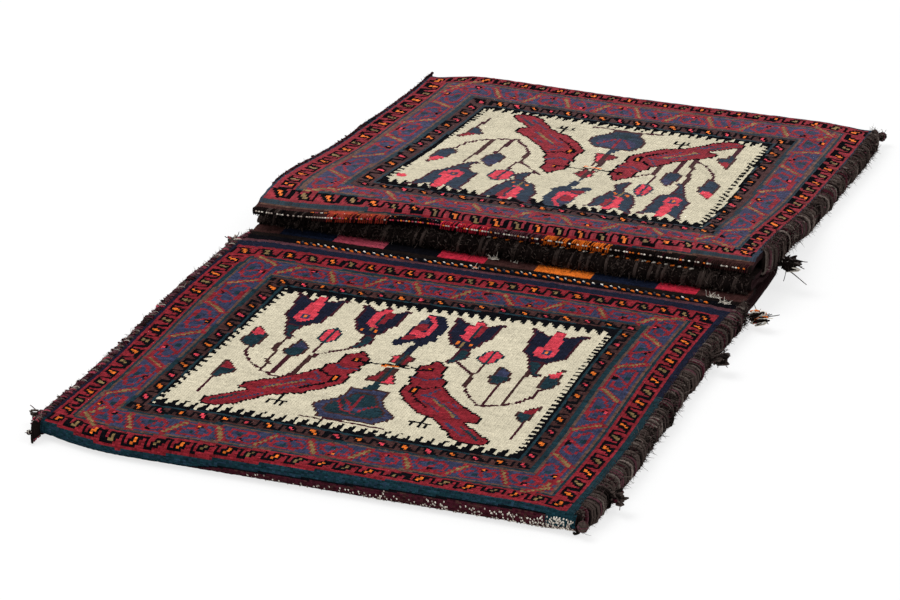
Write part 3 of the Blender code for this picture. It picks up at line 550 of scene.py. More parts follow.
class Cartoon:
    """The colour of each knot of a face: u across, v from the turn of the fold."""

    def __init__(self, rows, ground, across, along, belly=LEVEL, tilt=LEVEL):
        self.v = (np.arange(rows) + 0.5 - FOLD_KNOTS) * KNOT
        self.knots = np.full((rows, KNOTS_ACROSS), dye(ground))
        self.across_at = [y for y, table in across]
        self.across = [np.array(table).T for y, table in across]
        self.tilt = np.array(tilt).T
        self.tilt_share = np.array(TILT_SHARE).T
        self.along = np.array(along).T
        self.belly = np.array(belly).T

    def drawn(self, points, mirror=False):
        """Places on the face of points of the drawing, which count steps to the right and down."""
        placed = []
        for x, y in points:
            if mirror:
                x = 2 * MIRROR_LINE - x
            u = float(np.interp(y, self.across_at, [np.interp(x, *table) for table in self.across]))
            share = max(0.0, 1.0 - ((u - BELLY_MIDDLE) / BELLY_REACH) ** 2)
            leaning = np.interp(x, *self.tilt) * np.interp(y, *self.tilt_share)
            v = float(np.interp(y, *self.along) + np.interp(y, *self.belly) * share + leaning)
            placed.append((u, v))
        return placed

    def mask(self, outline):
        """Knots whose middle is inside an outline of (u, v) points."""
        us = [point[0] for point in outline]
        vs = [point[1] for point in outline]
        columns = np.where((KNOT_PLACES >= min(us)) & (KNOT_PLACES <= max(us)))[0]
        rows = np.where((self.v >= min(vs)) & (self.v <= max(vs)))[0]
        found = np.zeros(self.knots.shape, dtype=bool)
        across, along = np.meshgrid(KNOT_PLACES[columns], self.v[rows])
        inside = np.zeros(across.shape, dtype=bool)
        for (x0, y0), (x1, y1) in zip(outline, outline[1:] + outline[:1]):
            if y0 == y1:
                continue
            crosses = (y0 > along) != (y1 > along)
            inside ^= crosses & (across < x0 + (x1 - x0) * (along - y0) / (y1 - y0))
        found[np.ix_(rows, columns)] = inside
        return found

    def paint(self, colour, outline, rim=None):
        found = self.mask(outline)
        self.knots[found] = dye(colour)
        if rim:
            inner = found.copy()
            inner[1:] &= found[:-1]
            inner[:-1] &= found[1:]
            inner[:, 1:] &= found[:, :-1]
            inner[:, :-1] &= found[:, 1:]
            self.knots[found & ~inner] = dye(rim)

    def line(self, colour, points, width):
        """A band of a given width along a run of (u, v) points."""
        for (x0, y0), (x1, y1) in zip(points, points[1:]):
            run = math.hypot(x1 - x0, y1 - y0)
            a = (x1 - x0) / run * width / 2
            b = (y1 - y0) / run * width / 2
            self.paint(colour, [(x0 - b - a, y0 + a - b), (x1 - b + a, y1 + a + b),
                                (x1 + b + a, y1 - a + b), (x0 + b - a, y0 - a - b)])


# The field's figures, each a colour, a rim colour and an outline, or a line's colour, width and points
BIRD = [
    ("shape", "red", "black", [
        (805, 739), (817, 752), (827, 772), (842, 780), (843, 815), (835, 835), (844, 855), (834, 870),
        (830, 895), (838, 915), (837, 942), (825, 957), (805, 982), (790, 997), (770, 1017), (750, 1037),
        (712, 1051), (690, 1062), (672, 1077), (655, 1097), (632, 1117), (617, 1142), (590, 1152),
        (575, 1160), (530, 1160), (515, 1147), (515, 1124), (535, 1110), (560, 1088), (590, 1068),
        (606, 1053), (578, 1053), (573, 1038), (577, 1015), (600, 998), (630, 978), (655, 960), (680, 938),
        (700, 918), (715, 898), (735, 878), (736, 850), (753, 838), (761, 815), (763, 770), (783, 760),
        (790, 748)]),
    ("line", "blue", 8, [(764, 840), (778, 852), (792, 860), (828, 850)]),
    ("line", "black", 9, [(736, 884), (760, 898), (776, 910), (800, 904)]),
    ("line", "black", 8, [(797, 940), (785, 957), (768, 975), (748, 990), (732, 1006)]),
    ("shape", "black", None, [
        (784, 912), (792, 904), (806, 904), (813, 914), (812, 934), (803, 944), (790, 938)]),
    ("shape", "orange", None, [(792, 914), (803, 914), (803, 934), (792, 934)]),
    ("line", "blue", 6, [(730, 900), (746, 916), (758, 938)]),
    ("line", "blue", 8, [(766, 945), (738, 944), (712, 966), (688, 986), (660, 1012), (634, 1034)]),
    ("line", "tan", 7, [(728, 960), (700, 982), (672, 1004), (646, 1032)]),
    ("line", "blue", 7, [(752, 974), (724, 990), (704, 1008), (690, 1022)]),
    ("line", "blue", 6, [(690, 958), (656, 982)]),
    ("line", "teal", 9, [(606, 1078), (545, 1132)]),
    ("line", "blue", 8, [(656, 1066), (590, 1120)]),
    ("line", "black", 12, [(812, 800), (840, 812)]),
    ("shape", "black", None, [(796, 786), (814, 786), (814, 810), (796, 810)]),
    ("shape", "orange", None, [(801, 793), (809, 793), (809, 803), (801, 803)]),
    ("line", "black", 9, [(712, 1048), (712, 1106)]),
    ("line", "black", 8, [(688, 1088), (738, 1088)]),
    ("line", "black", 9, [(692, 1086), (692, 1106)]),
    ("line", "black", 9, [(732, 1086), (732, 1106)]),
    ("line", "black", 8, [(840, 804), (888, 806)]),
]
OUTER_TULIP = [
    ("shape", "navy", "maroon", [
        (450, 426), (462, 428), (476, 438), (492, 447), (508, 462), (522, 472), (524, 444), (530, 434),
        (552, 434), (560, 446), (562, 464), (580, 455), (597, 446), (610, 438), (628, 440), (630, 452),
        (614, 463), (616, 520), (614, 606), (604, 617), (590, 622), (580, 632), (572, 644), (516, 644),
        (506, 618), (495, 598), (480, 588), (477, 540), (472, 480), (466, 452)]),
    ("shape", "teal", "maroon", [
        (516, 636), (572, 640), (568, 662), (566, 692), (570, 704), (584, 714), (570, 728), (558, 726),
        (548, 712), (538, 696), (528, 674)]),
    ("shape", "pink", None, [
        (530, 438), (552, 438), (558, 448), (558, 466), (563, 492), (564, 545), (573, 550), (574, 597),
        (562, 606), (545, 618), (524, 604), (514, 590), (514, 548), (525, 545), (523, 500), (527, 462)]),
    ("shape", "blue", None, [(532, 560), (556, 560), (556, 592), (532, 592)]),
    ("shape", "orange", None, [(540, 569), (548, 569), (548, 583), (540, 583)]),
]
INNER_TULIP = [
    ("shape", "navy", "maroon", [
        (668, 450), (690, 448), (712, 468), (728, 480), (737, 478), (740, 455), (748, 450), (766, 454),
        (771, 476), (782, 480), (795, 467), (812, 458), (829, 459), (822, 475), (818, 490), (819, 540),
        (817, 566), (806, 582), (805, 612), (796, 630), (786, 644), (757, 644), (735, 631), (716, 616),
        (706, 596), (695, 566), (685, 546), (682, 482), (675, 464)]),
    ("shape", "teal", "maroon", [
        (757, 638), (786, 640), (795, 660), (803, 685), (792, 706), (780, 722), (760, 738), (750, 730),
        (755, 710), (762, 690), (759, 664)]),
    ("shape", "pink", None, [
        (741, 460), (766, 462), (769, 477), (757, 480), (757, 575), (770, 580), (766, 592), (750, 586),
        (738, 576), (728, 560), (733, 540), (727, 520), (727, 487), (741, 480)]),
    ("line", "teal", 7, [(760, 482), (760, 570)]),
    ("shape", "red", None, [(764, 480), (782, 480), (782, 546), (773, 562), (764, 562)]),
    ("line", "tan", 6, [(756, 590), (756, 630)]),
    ("shape", "orange", None, [(730, 598), (740, 598), (740, 614), (730, 614)]),
    ("shape", "orange", None, [(772, 606), (781, 606), (781, 620), (772, 620)]),
]
CENTRE_FLOWER = [
    ("shape", "navy", None, [
        (878, 466), (925, 461), (936, 480), (946, 505), (957, 520), (958, 560), (956, 600), (965, 617),
        (962, 630), (950, 634), (945, 648), (936, 662), (927, 680), (932, 700), (927, 722), (908, 728),
        (902, 705), (905, 688), (908, 670), (914, 656), (904, 644), (890, 655), (880, 670), (865, 681),
        (852, 672), (848, 648), (860, 640), (858, 625), (866, 600), (866, 520), (874, 500)]),
    ("shape", "pink", None, [
        (880, 472), (900, 472), (905, 486), (916, 500), (926, 520), (929, 560), (930, 594), (918, 605),
        (904, 622), (895, 602), (870, 600), (870, 574), (890, 572), (906, 584), (913, 570), (915, 545),
        (912, 512), (898, 500)]),
    ("shape", "red", None, [
        (869, 536), (882, 528), (895, 520), (906, 530), (909, 560), (900, 575), (869, 572)]),
    ("shape", "blue", None, [(874, 502), (888, 490), (897, 505), (895, 520), (869, 534)]),
    ("shape", "red", None, [(860, 628), (872, 610), (896, 610), (902, 624), (885, 636), (864, 640)]),
]
COLUMN = [
    ("line", "teal", 9, [(918, 712), (918, 950)]),
    ("shape", "pink", "brown", [(882, 750), (898, 734), (916, 724), (916, 792), (888, 788), (893, 765)]),
    ("shape", "red", "brown", [
        (920, 724), (937, 734), (958, 746), (954, 762), (944, 776), (948, 800), (920, 796)]),
    ("shape", "red", "brown", [
        (898, 818), (916, 818), (916, 912), (898, 912), (876, 906), (876, 884), (894, 866)]),
    ("shape", "pink", "brown", [
        (921, 818), (938, 820), (938, 850), (950, 870), (963, 906), (950, 914), (921, 914)]),
    ("line", "black", 9, [(884, 797), (948, 797)]),
    ("line", "orange", 12, [(890, 808), (944, 808)]),
    ("shape", "teal", None, [
        (893, 950), (904, 932), (914, 910), (925, 910), (932, 932), (934, 958), (893, 958)]),
]
VASE = [
    ("shape", "blue", "brown", [
        (861, 955), (973, 955), (973, 1000), (981, 1020), (1002, 1045), (1022, 1065), (1037, 1080),
        (1034, 1102), (1016, 1117), (1006, 1138), (843, 1138), (838, 1117), (822, 1102), (809, 1086),
        (808, 1068), (828, 1045), (850, 1025), (861, 1000)]),
    ("shape", "teal", "brown", [
        (884, 982), (946, 982), (961, 1010), (976, 1034), (1002, 1060), (1012, 1084), (997, 1102),
        (985, 1115), (865, 1115), (848, 1102), (836, 1085), (838, 1064), (855, 1044), (870, 1020),
        (880, 998)]),
    ("shape", "blue", None, [(888, 1050), (905, 1062), (940, 1060), (950, 1050), (940, 1085), (905, 1088)]),
    ("line", "red", 8, [(918, 1000), (915, 1070)]),
    ("line", "red", 8, [(864, 1038), (880, 1060), (892, 1085), (932, 1096)]),
    ("line", "red", 8, [(880, 1030), (898, 1048), (915, 1072)]),
    ("line", "red", 8, [(970, 1044), (946, 1060), (940, 1086)]),
    ("line", "maroon", 9, [(808, 1150), (915, 1144), (1036, 1152)]),
]
LEFT_GARDEN = [
    ("line", "brown", 14, [(562, 722), (562, 800), (574, 816), (576, 872), (586, 890), (586, 938)]),
    ("line", "maroon", 16, [(622, 828), (620, 948)]),
    ("line", "maroon", 8, [(668, 724), (670, 785), (682, 800)]),
    ("line", "brown", 16, [(682, 800), (683, 900), (678, 926)]),
    ("line", "maroon", 9, [(756, 736), (686, 802)]),
    ("line", "maroon", 9, [
        (486, 815), (498, 852), (520, 880), (545, 905), (575, 925), (600, 942), (625, 953), (650, 960),
        (668, 946), (682, 920)]),
    ("shape", "pink", "teal", [
        (668, 620), (654, 634), (641, 648), (636, 666), (638, 692), (647, 710), (664, 722), (668, 732),
        (676, 722), (692, 711), (699, 690), (699, 665), (691, 644), (676, 632)]),
    ("line", "teal", 8, [(668, 630), (668, 718)]),
    ("shape", "teal", "brown", [
        (604, 720), (600, 745), (591, 770), (588, 800), (591, 814), (605, 827), (622, 834), (641, 827),
        (650, 810), (652, 790), (650, 765), (636, 748), (620, 733)]),
    ("shape", "blue", None, [(608, 737), (620, 737), (644, 765), (640, 780), (603, 772)]),
    ("shape", "teal", "brown", [
        (450, 668), (472, 690), (492, 710), (506, 722), (508, 745), (506, 792), (502, 818), (480, 807),
        (458, 792), (444, 780), (444, 740), (448, 700)]),
    ("shape", "pink", None, [(452, 680), (466, 691), (492, 716), (488, 728), (468, 730), (450, 716)]),
    ("shape", "teal", "brown", [
        (470, 896), (488, 915), (508, 935), (528, 958), (524, 976), (506, 988), (500, 1002), (490, 1012),
        (478, 1012), (468, 985), (465, 960), (467, 930)]),
    ("shape", "red", None, [(472, 904), (490, 920), (514, 944), (500, 954), (474, 950)]),
    ("line", "maroon", 9, [(484, 1010), (484, 1096)]),
]
RIGHT_GARDEN = [
    ("line", "brown", 12, [(1270, 738), (1268, 932)]),
    ("line", "maroon", 14, [(1222, 834), (1222, 948)]),
    ("line", "maroon", 9, [
        (1142, 722), (1144, 770), (1134, 800), (1140, 850), (1150, 882), (1176, 920), (1204, 946)]),
    ("line", "maroon", 9, [(1056, 726), (1130, 790)]),
    ("line", "brown", 14, [(1134, 796), (1142, 862)]),
    ("line", "maroon", 9, [(1336, 824), (1326, 880), (1300, 915), (1270, 937), (1230, 953), (1204, 956)]),
    ("shape", "pink", "teal", [
        (1141, 638), (1124, 648), (1111, 660), (1109, 702), (1124, 718), (1141, 728), (1157, 720),
        (1173, 706), (1174, 664), (1161, 650)]),
    ("line", "teal", 8, [(1142, 648), (1142, 720)]),
    ("shape", "teal", "brown", [
        (1190, 720), (1201, 730), (1217, 745), (1235, 765), (1238, 800), (1232, 816), (1216, 837),
        (1199, 832), (1183, 816), (1181, 790), (1187, 760)]),
    ("shape", "blue", None, [(1193, 745), (1208, 741), (1229, 765), (1222, 780), (1208, 786), (1191, 776)]),
    ("shape", "teal", "brown", [
        (1354, 698), (1364, 705), (1359, 725), (1368, 745), (1370, 790), (1362, 814), (1346, 828),
        (1324, 822), (1315, 800), (1318, 760), (1329, 738), (1345, 718)]),
    ("shape", "pink", None, [(1353, 713), (1361, 735), (1356, 753), (1340, 757), (1327, 743), (1340, 725)]),
    ("shape", "teal", "brown", [
        (1369, 915), (1372, 935), (1364, 960), (1365, 985), (1360, 1006), (1350, 1014), (1338, 1006),
        (1328, 992), (1315, 976), (1316, 964), (1335, 948), (1350, 930)]),
    ("shape", "red", None, [(1367, 923), (1366, 945), (1358, 966), (1338, 963), (1330, 955), (1350, 934)]),
    ("line", "maroon", 9, [(1351, 1010), (1351, 1098)]),
]
REAR_VASE = [
    ("shape", "slate", "brown", [
        (812, 956), (940, 956), (958, 980), (976, 1008), (978, 1040), (962, 1068), (938, 1096), (930, 1112),
        (932, 1134), (828, 1134), (830, 1112), (812, 1088), (792, 1052), (786, 1020), (796, 985)]),
    ("shape", "blue", None, [
        (832, 975), (920, 975), (948, 1016), (930, 1050), (880, 1066), (832, 1050), (812, 1014)]),
    ("shape", "teal", None, [(850, 1066), (912, 1066), (904, 1112), (858, 1112)]),
    ("line", "red", 8, [(880, 970), (878, 1056)]),
    ("line", "red", 8, [(826, 990), (846, 1024), (866, 1056)]),
    ("line", "red", 8, [(936, 990), (914, 1024), (894, 1056)]),
    ("line", "maroon", 9, [(766, 1148), (880, 1142), (1002, 1138)]),
]


def draw_figure(face, figure, mirror=False, swap=None):
    """Lays one figure of the field on the face; swap changes some of its colours."""
    swap = swap or {}
    for kind, colour, extra, points in figure:
        placed = face.drawn(points, mirror)
        colour = swap.get(colour, colour)
        if kind == "shape":
            face.paint(colour, placed, swap.get(extra, extra))
        else:
            face.line(colour, placed, extra * LINE_STEP)


def shifted(figure, right, down):
    """A figure moved to the right and down."""
    return [(kind, colour, extra, [(x + right, y + down) for x, y in points])
            for kind, colour, extra, points in figure]


def fitted(figure, box, mirror=False):
    """A figure drawn again so that it just fills a box: left, top, right, bottom."""
    xs = [x for kind, colour, extra, points in figure for x, y in points]
    ys = [y for kind, colour, extra, points in figure for x, y in points]
    left, top, right, bottom = box

    def moved(x, y):
        share = (x - min(xs)) / (max(xs) - min(xs))
        if mirror:
            share = 1.0 - share
        return left + (right - left) * share, top + (bottom - top) * (y - min(ys)) / (max(ys) - min(ys))

    return [(kind, colour, extra, [moved(x, y) for x, y in points]) for kind, colour, extra, points in figure]


# Where the rear face has its own, differently spaced figures
REAR_PLACES = (
    (LEFT_GARDEN, (448, 586, 746, 1137), False),
    (RIGHT_GARDEN, (1000, 543, 1377, 1084), False),
    (OUTER_TULIP, (474, 438, 621, 750), False),
    (OUTER_TULIP, (1153, 424, 1336, 678), True),
    (INNER_TULIP, (628, 438, 783, 704), False),
    (INNER_TULIP, (925, 405, 1100, 661), False),
    (CENTRE_FLOWER, (804, 407, 923, 646), False),
    (COLUMN, (832, 654, 909, 961), False),
    (BIRD, (480, 686, 856, 1165), False),
    (BIRD, (894, 665, 1290, 1170), True),
)
REAR_SPOT = [(1355, 480), (1366, 468), (1386, 476), (1384, 498), (1362, 498)]


REAR_SWAP = {"navy": "slate", "teal": "slate"}


def draw_rear_field(face):
    for figure, box, mirror in REAR_PLACES:
        draw_figure(face, fitted(figure, box, mirror), swap=REAR_SWAP)
    draw_figure(face, REAR_VASE)
    face.paint("pink", face.drawn(REAR_SPOT))


def draw_front_field(face):
    for figure in (LEFT_GARDEN, RIGHT_GARDEN, OUTER_TULIP, shifted(OUTER_TULIP, 728, 36),
                   INNER_TULIP, shifted(INNER_TULIP, 284, 12), CENTRE_FLOWER, COLUMN, VASE, BIRD):
        draw_figure(face, figure)
    draw_figure(face, BIRD, mirror=True)


# Edges of the pattern's frames on the drawing: left, top, right, bottom
FIELD_EDGE = (407, 418, 1405, 1192)
TEAL_LINE_EDGE = (398, 396, 1418, 1202)
INNER_EDGE = (350, 348, 1466, 1250)
GUARD_EDGE = (332, 332, 1486, 1266)
MAIN_EDGE = (246, 244, 1566, 1350)
OUTER_GUARD_EDGE = (228, 222, 1582, 1364)
RED_EDGE = (166, 150, 1642, 1420)
# The frames from the outside in: dye, edge, and how far past the edge it reaches
REAR_GUARDS = (("drab", RED_EDGE, 20), ("teal", RED_EDGE, 10))
FRAMES = (("red", RED_EDGE, 0), ("teal", OUTER_GUARD_EDGE, 0), ("drab", MAIN_EDGE, 9), ("blue", MAIN_EDGE, 0),
          ("drab", GUARD_EDGE, 0), ("teal", GUARD_EDGE, -7), ("brown", INNER_EDGE, 0),
          ("teal", TEAL_LINE_EDGE, 4), ("black", TEAL_LINE_EDGE, -3), ("cream", FIELD_EDGE, 0))
HOOK_PITCH = 63
UPRIGHT_HOOK_PITCH = 66.5
LEAF_PITCH = 133
UPRIGHT_LEAF_PITCH = 177


def frame_outline(face, edge, grow):
    """Outline of a frame, grown outwards by a few steps, with the points its bellied edges need."""
    left, top, right, bottom = edge
    places = np.linspace(left - grow, right + grow, 25)
    upper = [(x, top - grow) for x in places]
    lower = [(x, bottom + grow) for x in places[::-1]]
    return face.drawn(upper + lower)


def running(face, start, end, pitch, unit):
    """Repeats a unit from start to end; unit is given the number and the places of its two ends."""
    count = max(1, round(abs(end - start) / pitch))
    step = (end - start) / count
    for i in range(count):
        unit(face, i, start + step * i, start + step * (i + 1))


def laid(face, shape, start, end, low, high, upright):
    """Drawing points of a unit's shape: its s runs from start to end, its t from low to high."""
    points = []
    for s, t in shape:
        along = start + (end - start) * s
        across = low + (high - low) * t
        points.append((across, along) if upright else (along, across))
    return face.drawn(points)


HOOK_SHAPES = (
    [(0.0, 0.0), (0.15, 0.0), (0.15, 1.0), (0.0, 1.0)],
    [(0.0, 0.80), (0.62, 0.80), (0.62, 1.0), (0.0, 1.0)],
    [(0.20, 1.0), (0.62, 1.0), (0.98, 0.0), (0.40, 0.0)],
    [(0.40, 0.0), (1.02, 0.0), (1.02, 0.22), (0.40, 0.22)],
)
HOOK_HEART = [(0.36, 0.80), (0.50, 0.80), (0.70, 0.24), (0.54, 0.24)]


def hook_unit(low, high, upright, hearts):
    """The running hook of the narrow borders, with a coloured heart in each."""
    def unit(face, number, start, end):
        for shape in HOOK_SHAPES:
            face.paint("black", laid(face, shape, start, end, low, high, upright))
        face.paint(hearts[number % len(hearts)], laid(face, HOOK_HEART, start, end, low, high, upright))
    return unit


LEAF_STROKES = (
    [(0.10, 0.93), (0.84, 0.93)],
    [(0.33, 0.64), (0.20, 0.50), (0.14, 0.28), (0.18, 0.10), (0.62, 0.08)],
    [(0.37, 0.90), (0.46, 0.58), (0.60, 0.18)],
    [(0.66, 0.12), (0.80, 0.32), (0.76, 0.62), (0.61, 0.74)],
)
LEAF_DARK = [(0.42, 0.86), (0.58, 0.86), (0.54, 0.66), (0.47, 0.62)]
LEAF_HEART = [(0.36, 0.20), (0.48, 0.20), (0.46, 0.42), (0.36, 0.42)]
LEAF_SPOT = [(0.48, 0.72), (0.54, 0.72), (0.54, 0.82), (0.48, 0.82)]
LEAF_SPOTS = ("pink", "red", "orange")


def leaf_unit(low, high, upright, first_up):
    """The main border's meander: leaves on one side of it and then on the other, and a bar between."""
    def unit(face, number, start, end):
        up = (number % 2 == 0) == first_up
        base, line = (low, high) if up else (high, low)

        def place(shape):
            return laid(face, shape, start, end, base, line, upright)

        for points in LEAF_STROKES:
            face.line("red", place(points), 1.2 * KNOT)
        for colour, shape in (("black", LEAF_DARK), ("teal", LEAF_HEART),
                              (LEAF_SPOTS[number % len(LEAF_SPOTS)], LEAF_SPOT)):
            face.paint(colour, place(shape))
        for s, lean in ((0.0, 1.0), (1.0, -1.0)):
            bar = place([(s - 0.13 * lean, 0.10), (s + 0.13 * lean, 0.92)])
            face.line("red", bar, 2.9 * KNOT)
            face.line("tan", bar, 1.15 * KNOT)
    return unit


# Saw teeth of the black edge on each side of the field, in steps from where each tooth begins
TOP_TOOTH = ((0, -2), (31.2, -2), (29, 32), (24, 32))
BOTTOM_TOOTH = ((0, 2), (12, -16), (22, -34), (29, -36), (28, -14), (31.2, 2))
LEFT_TOOTH = ((-2, 0), (12, 8), (18, 20), (10, 22), (-2, 16))
RIGHT_TOOTH = ((2, 0), (-16, 3), (-16, 12), (2, 15))


def draw_teeth(face):
    """Saw teeth that reach into the cream field."""
    left, top, right, bottom = FIELD_EDGE
    for tooth, count, x, y, x_step, y_step in ((TOP_TOOTH, 32, left, top, 31.2, 0),
                                               (BOTTOM_TOOTH, 32, left, bottom, 31.2, 0),
                                               (LEFT_TOOTH, 28, left, top, 0, 27.6),
                                               (RIGHT_TOOTH, 36, right, top, 0, 21.5)):
        for i in range(count):
            face.paint("black", face.drawn([(x + x_step * i + s, y + y_step * i + t) for s, t in tooth]))


# Slit-woven blocks of the mouth bands: where each begins across the bag, and its dye
FRONT_BLOCKS = ((-0.264, "brown"), (-0.232, "navy"), (-0.175, "rose"), (-0.119, "black"), (-0.060, "crimson"),
                (-0.008, "brown"), (0.046, "orange"), (0.103, "navy"), (0.170, "crimson"), (0.213, "brown"))
REAR_BLOCKS = ((-0.264, "brown"), (-0.205, "goat"), (-0.117, "orange"), (-0.049, "mauve"), (0.010, "crimson"),
               (0.063, "black"), (0.119, "rust"), (0.184, "brown"))
FRONT_LINE_V = (0.4800, 0.4868)
FRONT_TWINED_V = (0.4868, 0.4985)
FRONT_BLACK_V = (0.4985, 0.5080)
REAR_BLOCKS_V = 0.4690
BLOCKS_END_V = 0.56
# The teal edge beside the right end of the front face: from where across, and along the face
TEAL_EDGE_U = 0.235
TEAL_EDGE_V = (-0.02, 0.26)


def across_band(face, colour, start, end, low, high):
    face.paint(colour, [(start, low), (end, low), (end, high), (start, high)])


def draw_bands(face, rear):
    """Flat-woven end of a face: the slit-woven blocks, and in front a fine line and twined rows."""
    half = STRIP_WIDTH / 2
    blocks = REAR_BLOCKS if rear else FRONT_BLOCKS
    low = REAR_BLOCKS_V if rear else FRONT_BLACK_V[1]
    ends = [start for start, colour in blocks[1:]] + [half]
    for (start, colour), end in zip(blocks, ends):
        across_band(face, colour, start, end, low, BLOCKS_END_V)
    if not rear:
        for colour, along in (("mauve", FRONT_LINE_V), ("black", FRONT_TWINED_V), ("goat", FRONT_BLACK_V)):
            across_band(face, colour, -half, half, *along)


def face_cartoon(rows, rear):
    """Colours of a whole face: bands, guards, three borders, and the field with its figures."""
    if rear:
        face = Cartoon(rows, "slate", REAR_ACROSS, REAR_ALONG, belly=REAR_BELLY)
    else:
        face = Cartoon(rows, "navy", FRONT_ACROSS, FRONT_ALONG, tilt=FRONT_TILT)
    draw_bands(face, rear)
    if not rear:
        across_band(face, "teal", TEAL_EDGE_U, STRIP_WIDTH / 2, *TEAL_EDGE_V)
    for colour, edge, grow in (REAR_GUARDS + FRAMES if rear else FRAMES):
        face.paint(colour, frame_outline(face, edge, grow))
    draw_teeth(face)
    if rear:
        draw_rear_field(face)
    else:
        draw_front_field(face)
    draw_borders(face)
    return face.knots


def hook_border(face, outer, inner, hearts, lanes):
    """Hooks along a narrow border's top, bottom, left and right; a lane is where they start and end."""
    for lane, upright in zip(lanes, (False, False, True, True)):
        unit = hook_unit(*lane, upright, hearts)
        if upright:
            running(face, inner[1], inner[3], UPRIGHT_HOOK_PITCH, unit)
        else:
            running(face, outer[0], outer[2], HOOK_PITCH, unit)


def draw_borders(face):
    """Hooks in the two narrow borders and the leaf meander in the wide one, side by side."""
    left, top, right, bottom = RED_EDGE
    in_left, in_top, in_right, in_bottom = OUTER_GUARD_EDGE
    lanes = ((in_top - 10, top + 12), (in_bottom + 10, bottom - 10), (in_left - 8, left + 8),
             (right - 8, in_right + 8))
    hook_border(face, RED_EDGE, OUTER_GUARD_EDGE, ("orange", "tan"), lanes)
    left, top, right, bottom = INNER_EDGE
    in_left, in_top, in_right, in_bottom = TEAL_LINE_EDGE
    lanes = ((in_top - 7, top + 8), (bottom - 7, in_bottom + 7), (in_left - 6, left + 7),
             (right - 7, in_right + 6))
    hook_border(face, INNER_EDGE, TEAL_LINE_EDGE, ("orange", "pink"), lanes)
    left, top, right, bottom = MAIN_EDGE
    in_left, in_top, in_right, in_bottom = GUARD_EDGE
    running(face, in_left + 35, in_right - 20, LEAF_PITCH, leaf_unit(in_top - 4, top + 4, False, True))
    running(face, in_left - 60, in_right + 60, LEAF_PITCH, leaf_unit(in_bottom + 4, bottom - 4, False, False))
    running(face, top, bottom, UPRIGHT_LEAF_PITCH, leaf_unit(left + 4, in_left - 4, True, True))
    running(face, top, bottom, UPRIGHT_LEAF_PITCH, leaf_unit(in_right + 4, right - 4, True, False))


# How far round the front fold the teal guard reaches, from left to right
FOLD_TEAL = ((-0.264, 0.78), (-0.12, 0.78), (-0.08, 0.50), (0.0, 0.42), (0.12, 0.30), (0.264, 0.20))


def fold_dye(u, share, chance):
    """Dye on the turn of the front fold: the pile guard first, then the bare weave."""
    teal_end = float(np.interp(u, *np.array(FOLD_TEAL).T))
    if share < teal_end:
        return "slate" if chance < 0.3 else "teal"
    if share < teal_end + 0.05:
        return "black"
    return "brown" if chance < 0.15 else "maroon"


# The strip's materials, and how many faces each stretch has across; the others have the coarse count
PILE_KIND, FLAT_KIND, HAIR_KIND = range(3)
KINDS = {"front_face": PILE_KIND, "rear_face": PILE_KIND, "rear_band": PILE_KIND, "rear_fold": PILE_KIND,
         "nose": HAIR_KIND}
FINE_STRETCHES = ("front_face", "rear_face", "front_band", "rear_band", "front_fold")
ACROSS = {**dict.fromkeys(FINE_STRETCHES, KNOTS_ACROSS), "rear_fold": 94, "nose": 132}
ACROSS_COARSE = 66
ACROSS_INSIDE = 33
ROWS_INSIDE = 3
FACE_ROUGH = 0.00030
BACK_ROUGH = 0.00016


def spun(chance, names, even, haze=0.0):
    """Dye values with the unevenness of hand-spun yarn, row by row and knot by knot."""
    names = np.asarray(names)
    cream = names == dye("cream")
    swing = np.where(cream, 0.55, 1.7)[:, None] * even
    tone = (1.0 + chance.normal(0.0, 1.0, (len(names), 1)) * swing) * (1.0 + chance.normal(0.0, 0.5) * swing)
    bloom = np.where(cream | (names == dye("black")), 0.0, haze)[:, None]
    return DYE_VALUES[names] * np.clip(tone, 0.5, 1.7) * (1.0 + 6.0 * bloom) + bloom * HAZE


def fold_names(step, front, chance):
    """Dyes of one row on the turn of the front fold, where the outer border still reaches over it."""
    luck = chance.random(KNOTS_ACROSS)
    share = (step + 1) / FOLD_STEPS
    names = np.array([dye(fold_dye(u, share, one)) for u, one in zip(KNOT_PLACES, luck)])
    knot = FOLD_KNOTS - 1 - int(share * FOLD_ARC / KNOT)
    if knot >= 0:
        names = np.where(front[knot] == dye("navy"), names, front[knot])
    return names


def row_look(stretch, step, count, even, front, rear, chance):
    """Colours of one row of outer faces, and its material; even is whether it keeps the count across."""
    kind = KINDS.get(stretch, FLAT_KIND)
    if stretch == "front_band":
        knot = FRONT_KNOTS + BAND_KNOTS - 1 - step
        kind = PILE_KIND if knot < FRONT_KNOTS else FLAT_KIND
        return spun(chance, front[FOLD_KNOTS + knot], 0.10), kind
    if stretch == "front_face" and even:
        knot = FRONT_KNOTS - 1 - min(FRONT_KNOTS - 1, step)
        return spun(chance, front[FOLD_KNOTS + knot], 0.11, FRONT_HAZE), kind
    if stretch == "rear_face" and even:
        knot = min(REAR_KNOTS, step)
        return spun(chance, rear[FOLD_KNOTS + knot][::-1], 0.11, REAR_HAZE), kind
    if stretch == "rear_band" and even:
        knot = REAR_KNOTS + 1 + step
        return spun(chance, rear[FOLD_KNOTS + knot][::-1], 0.10), kind
    if stretch == "front_fold" and even:
        return spun(chance, fold_names(step, front, chance), 0.16), PILE_KIND
    if stretch == "nose":
        return spun(chance, [dye("goat")] * count, 0.25), kind
    if stretch == "rear_fold":
        colour = "slate" if step / REAR_FOLD_STEPS > 0.7 else "maroon"
        return spun(chance, [dye(colour)] * count, 0.12), kind
    return spun(chance, [dye("backing")] * count, 0.10), kind


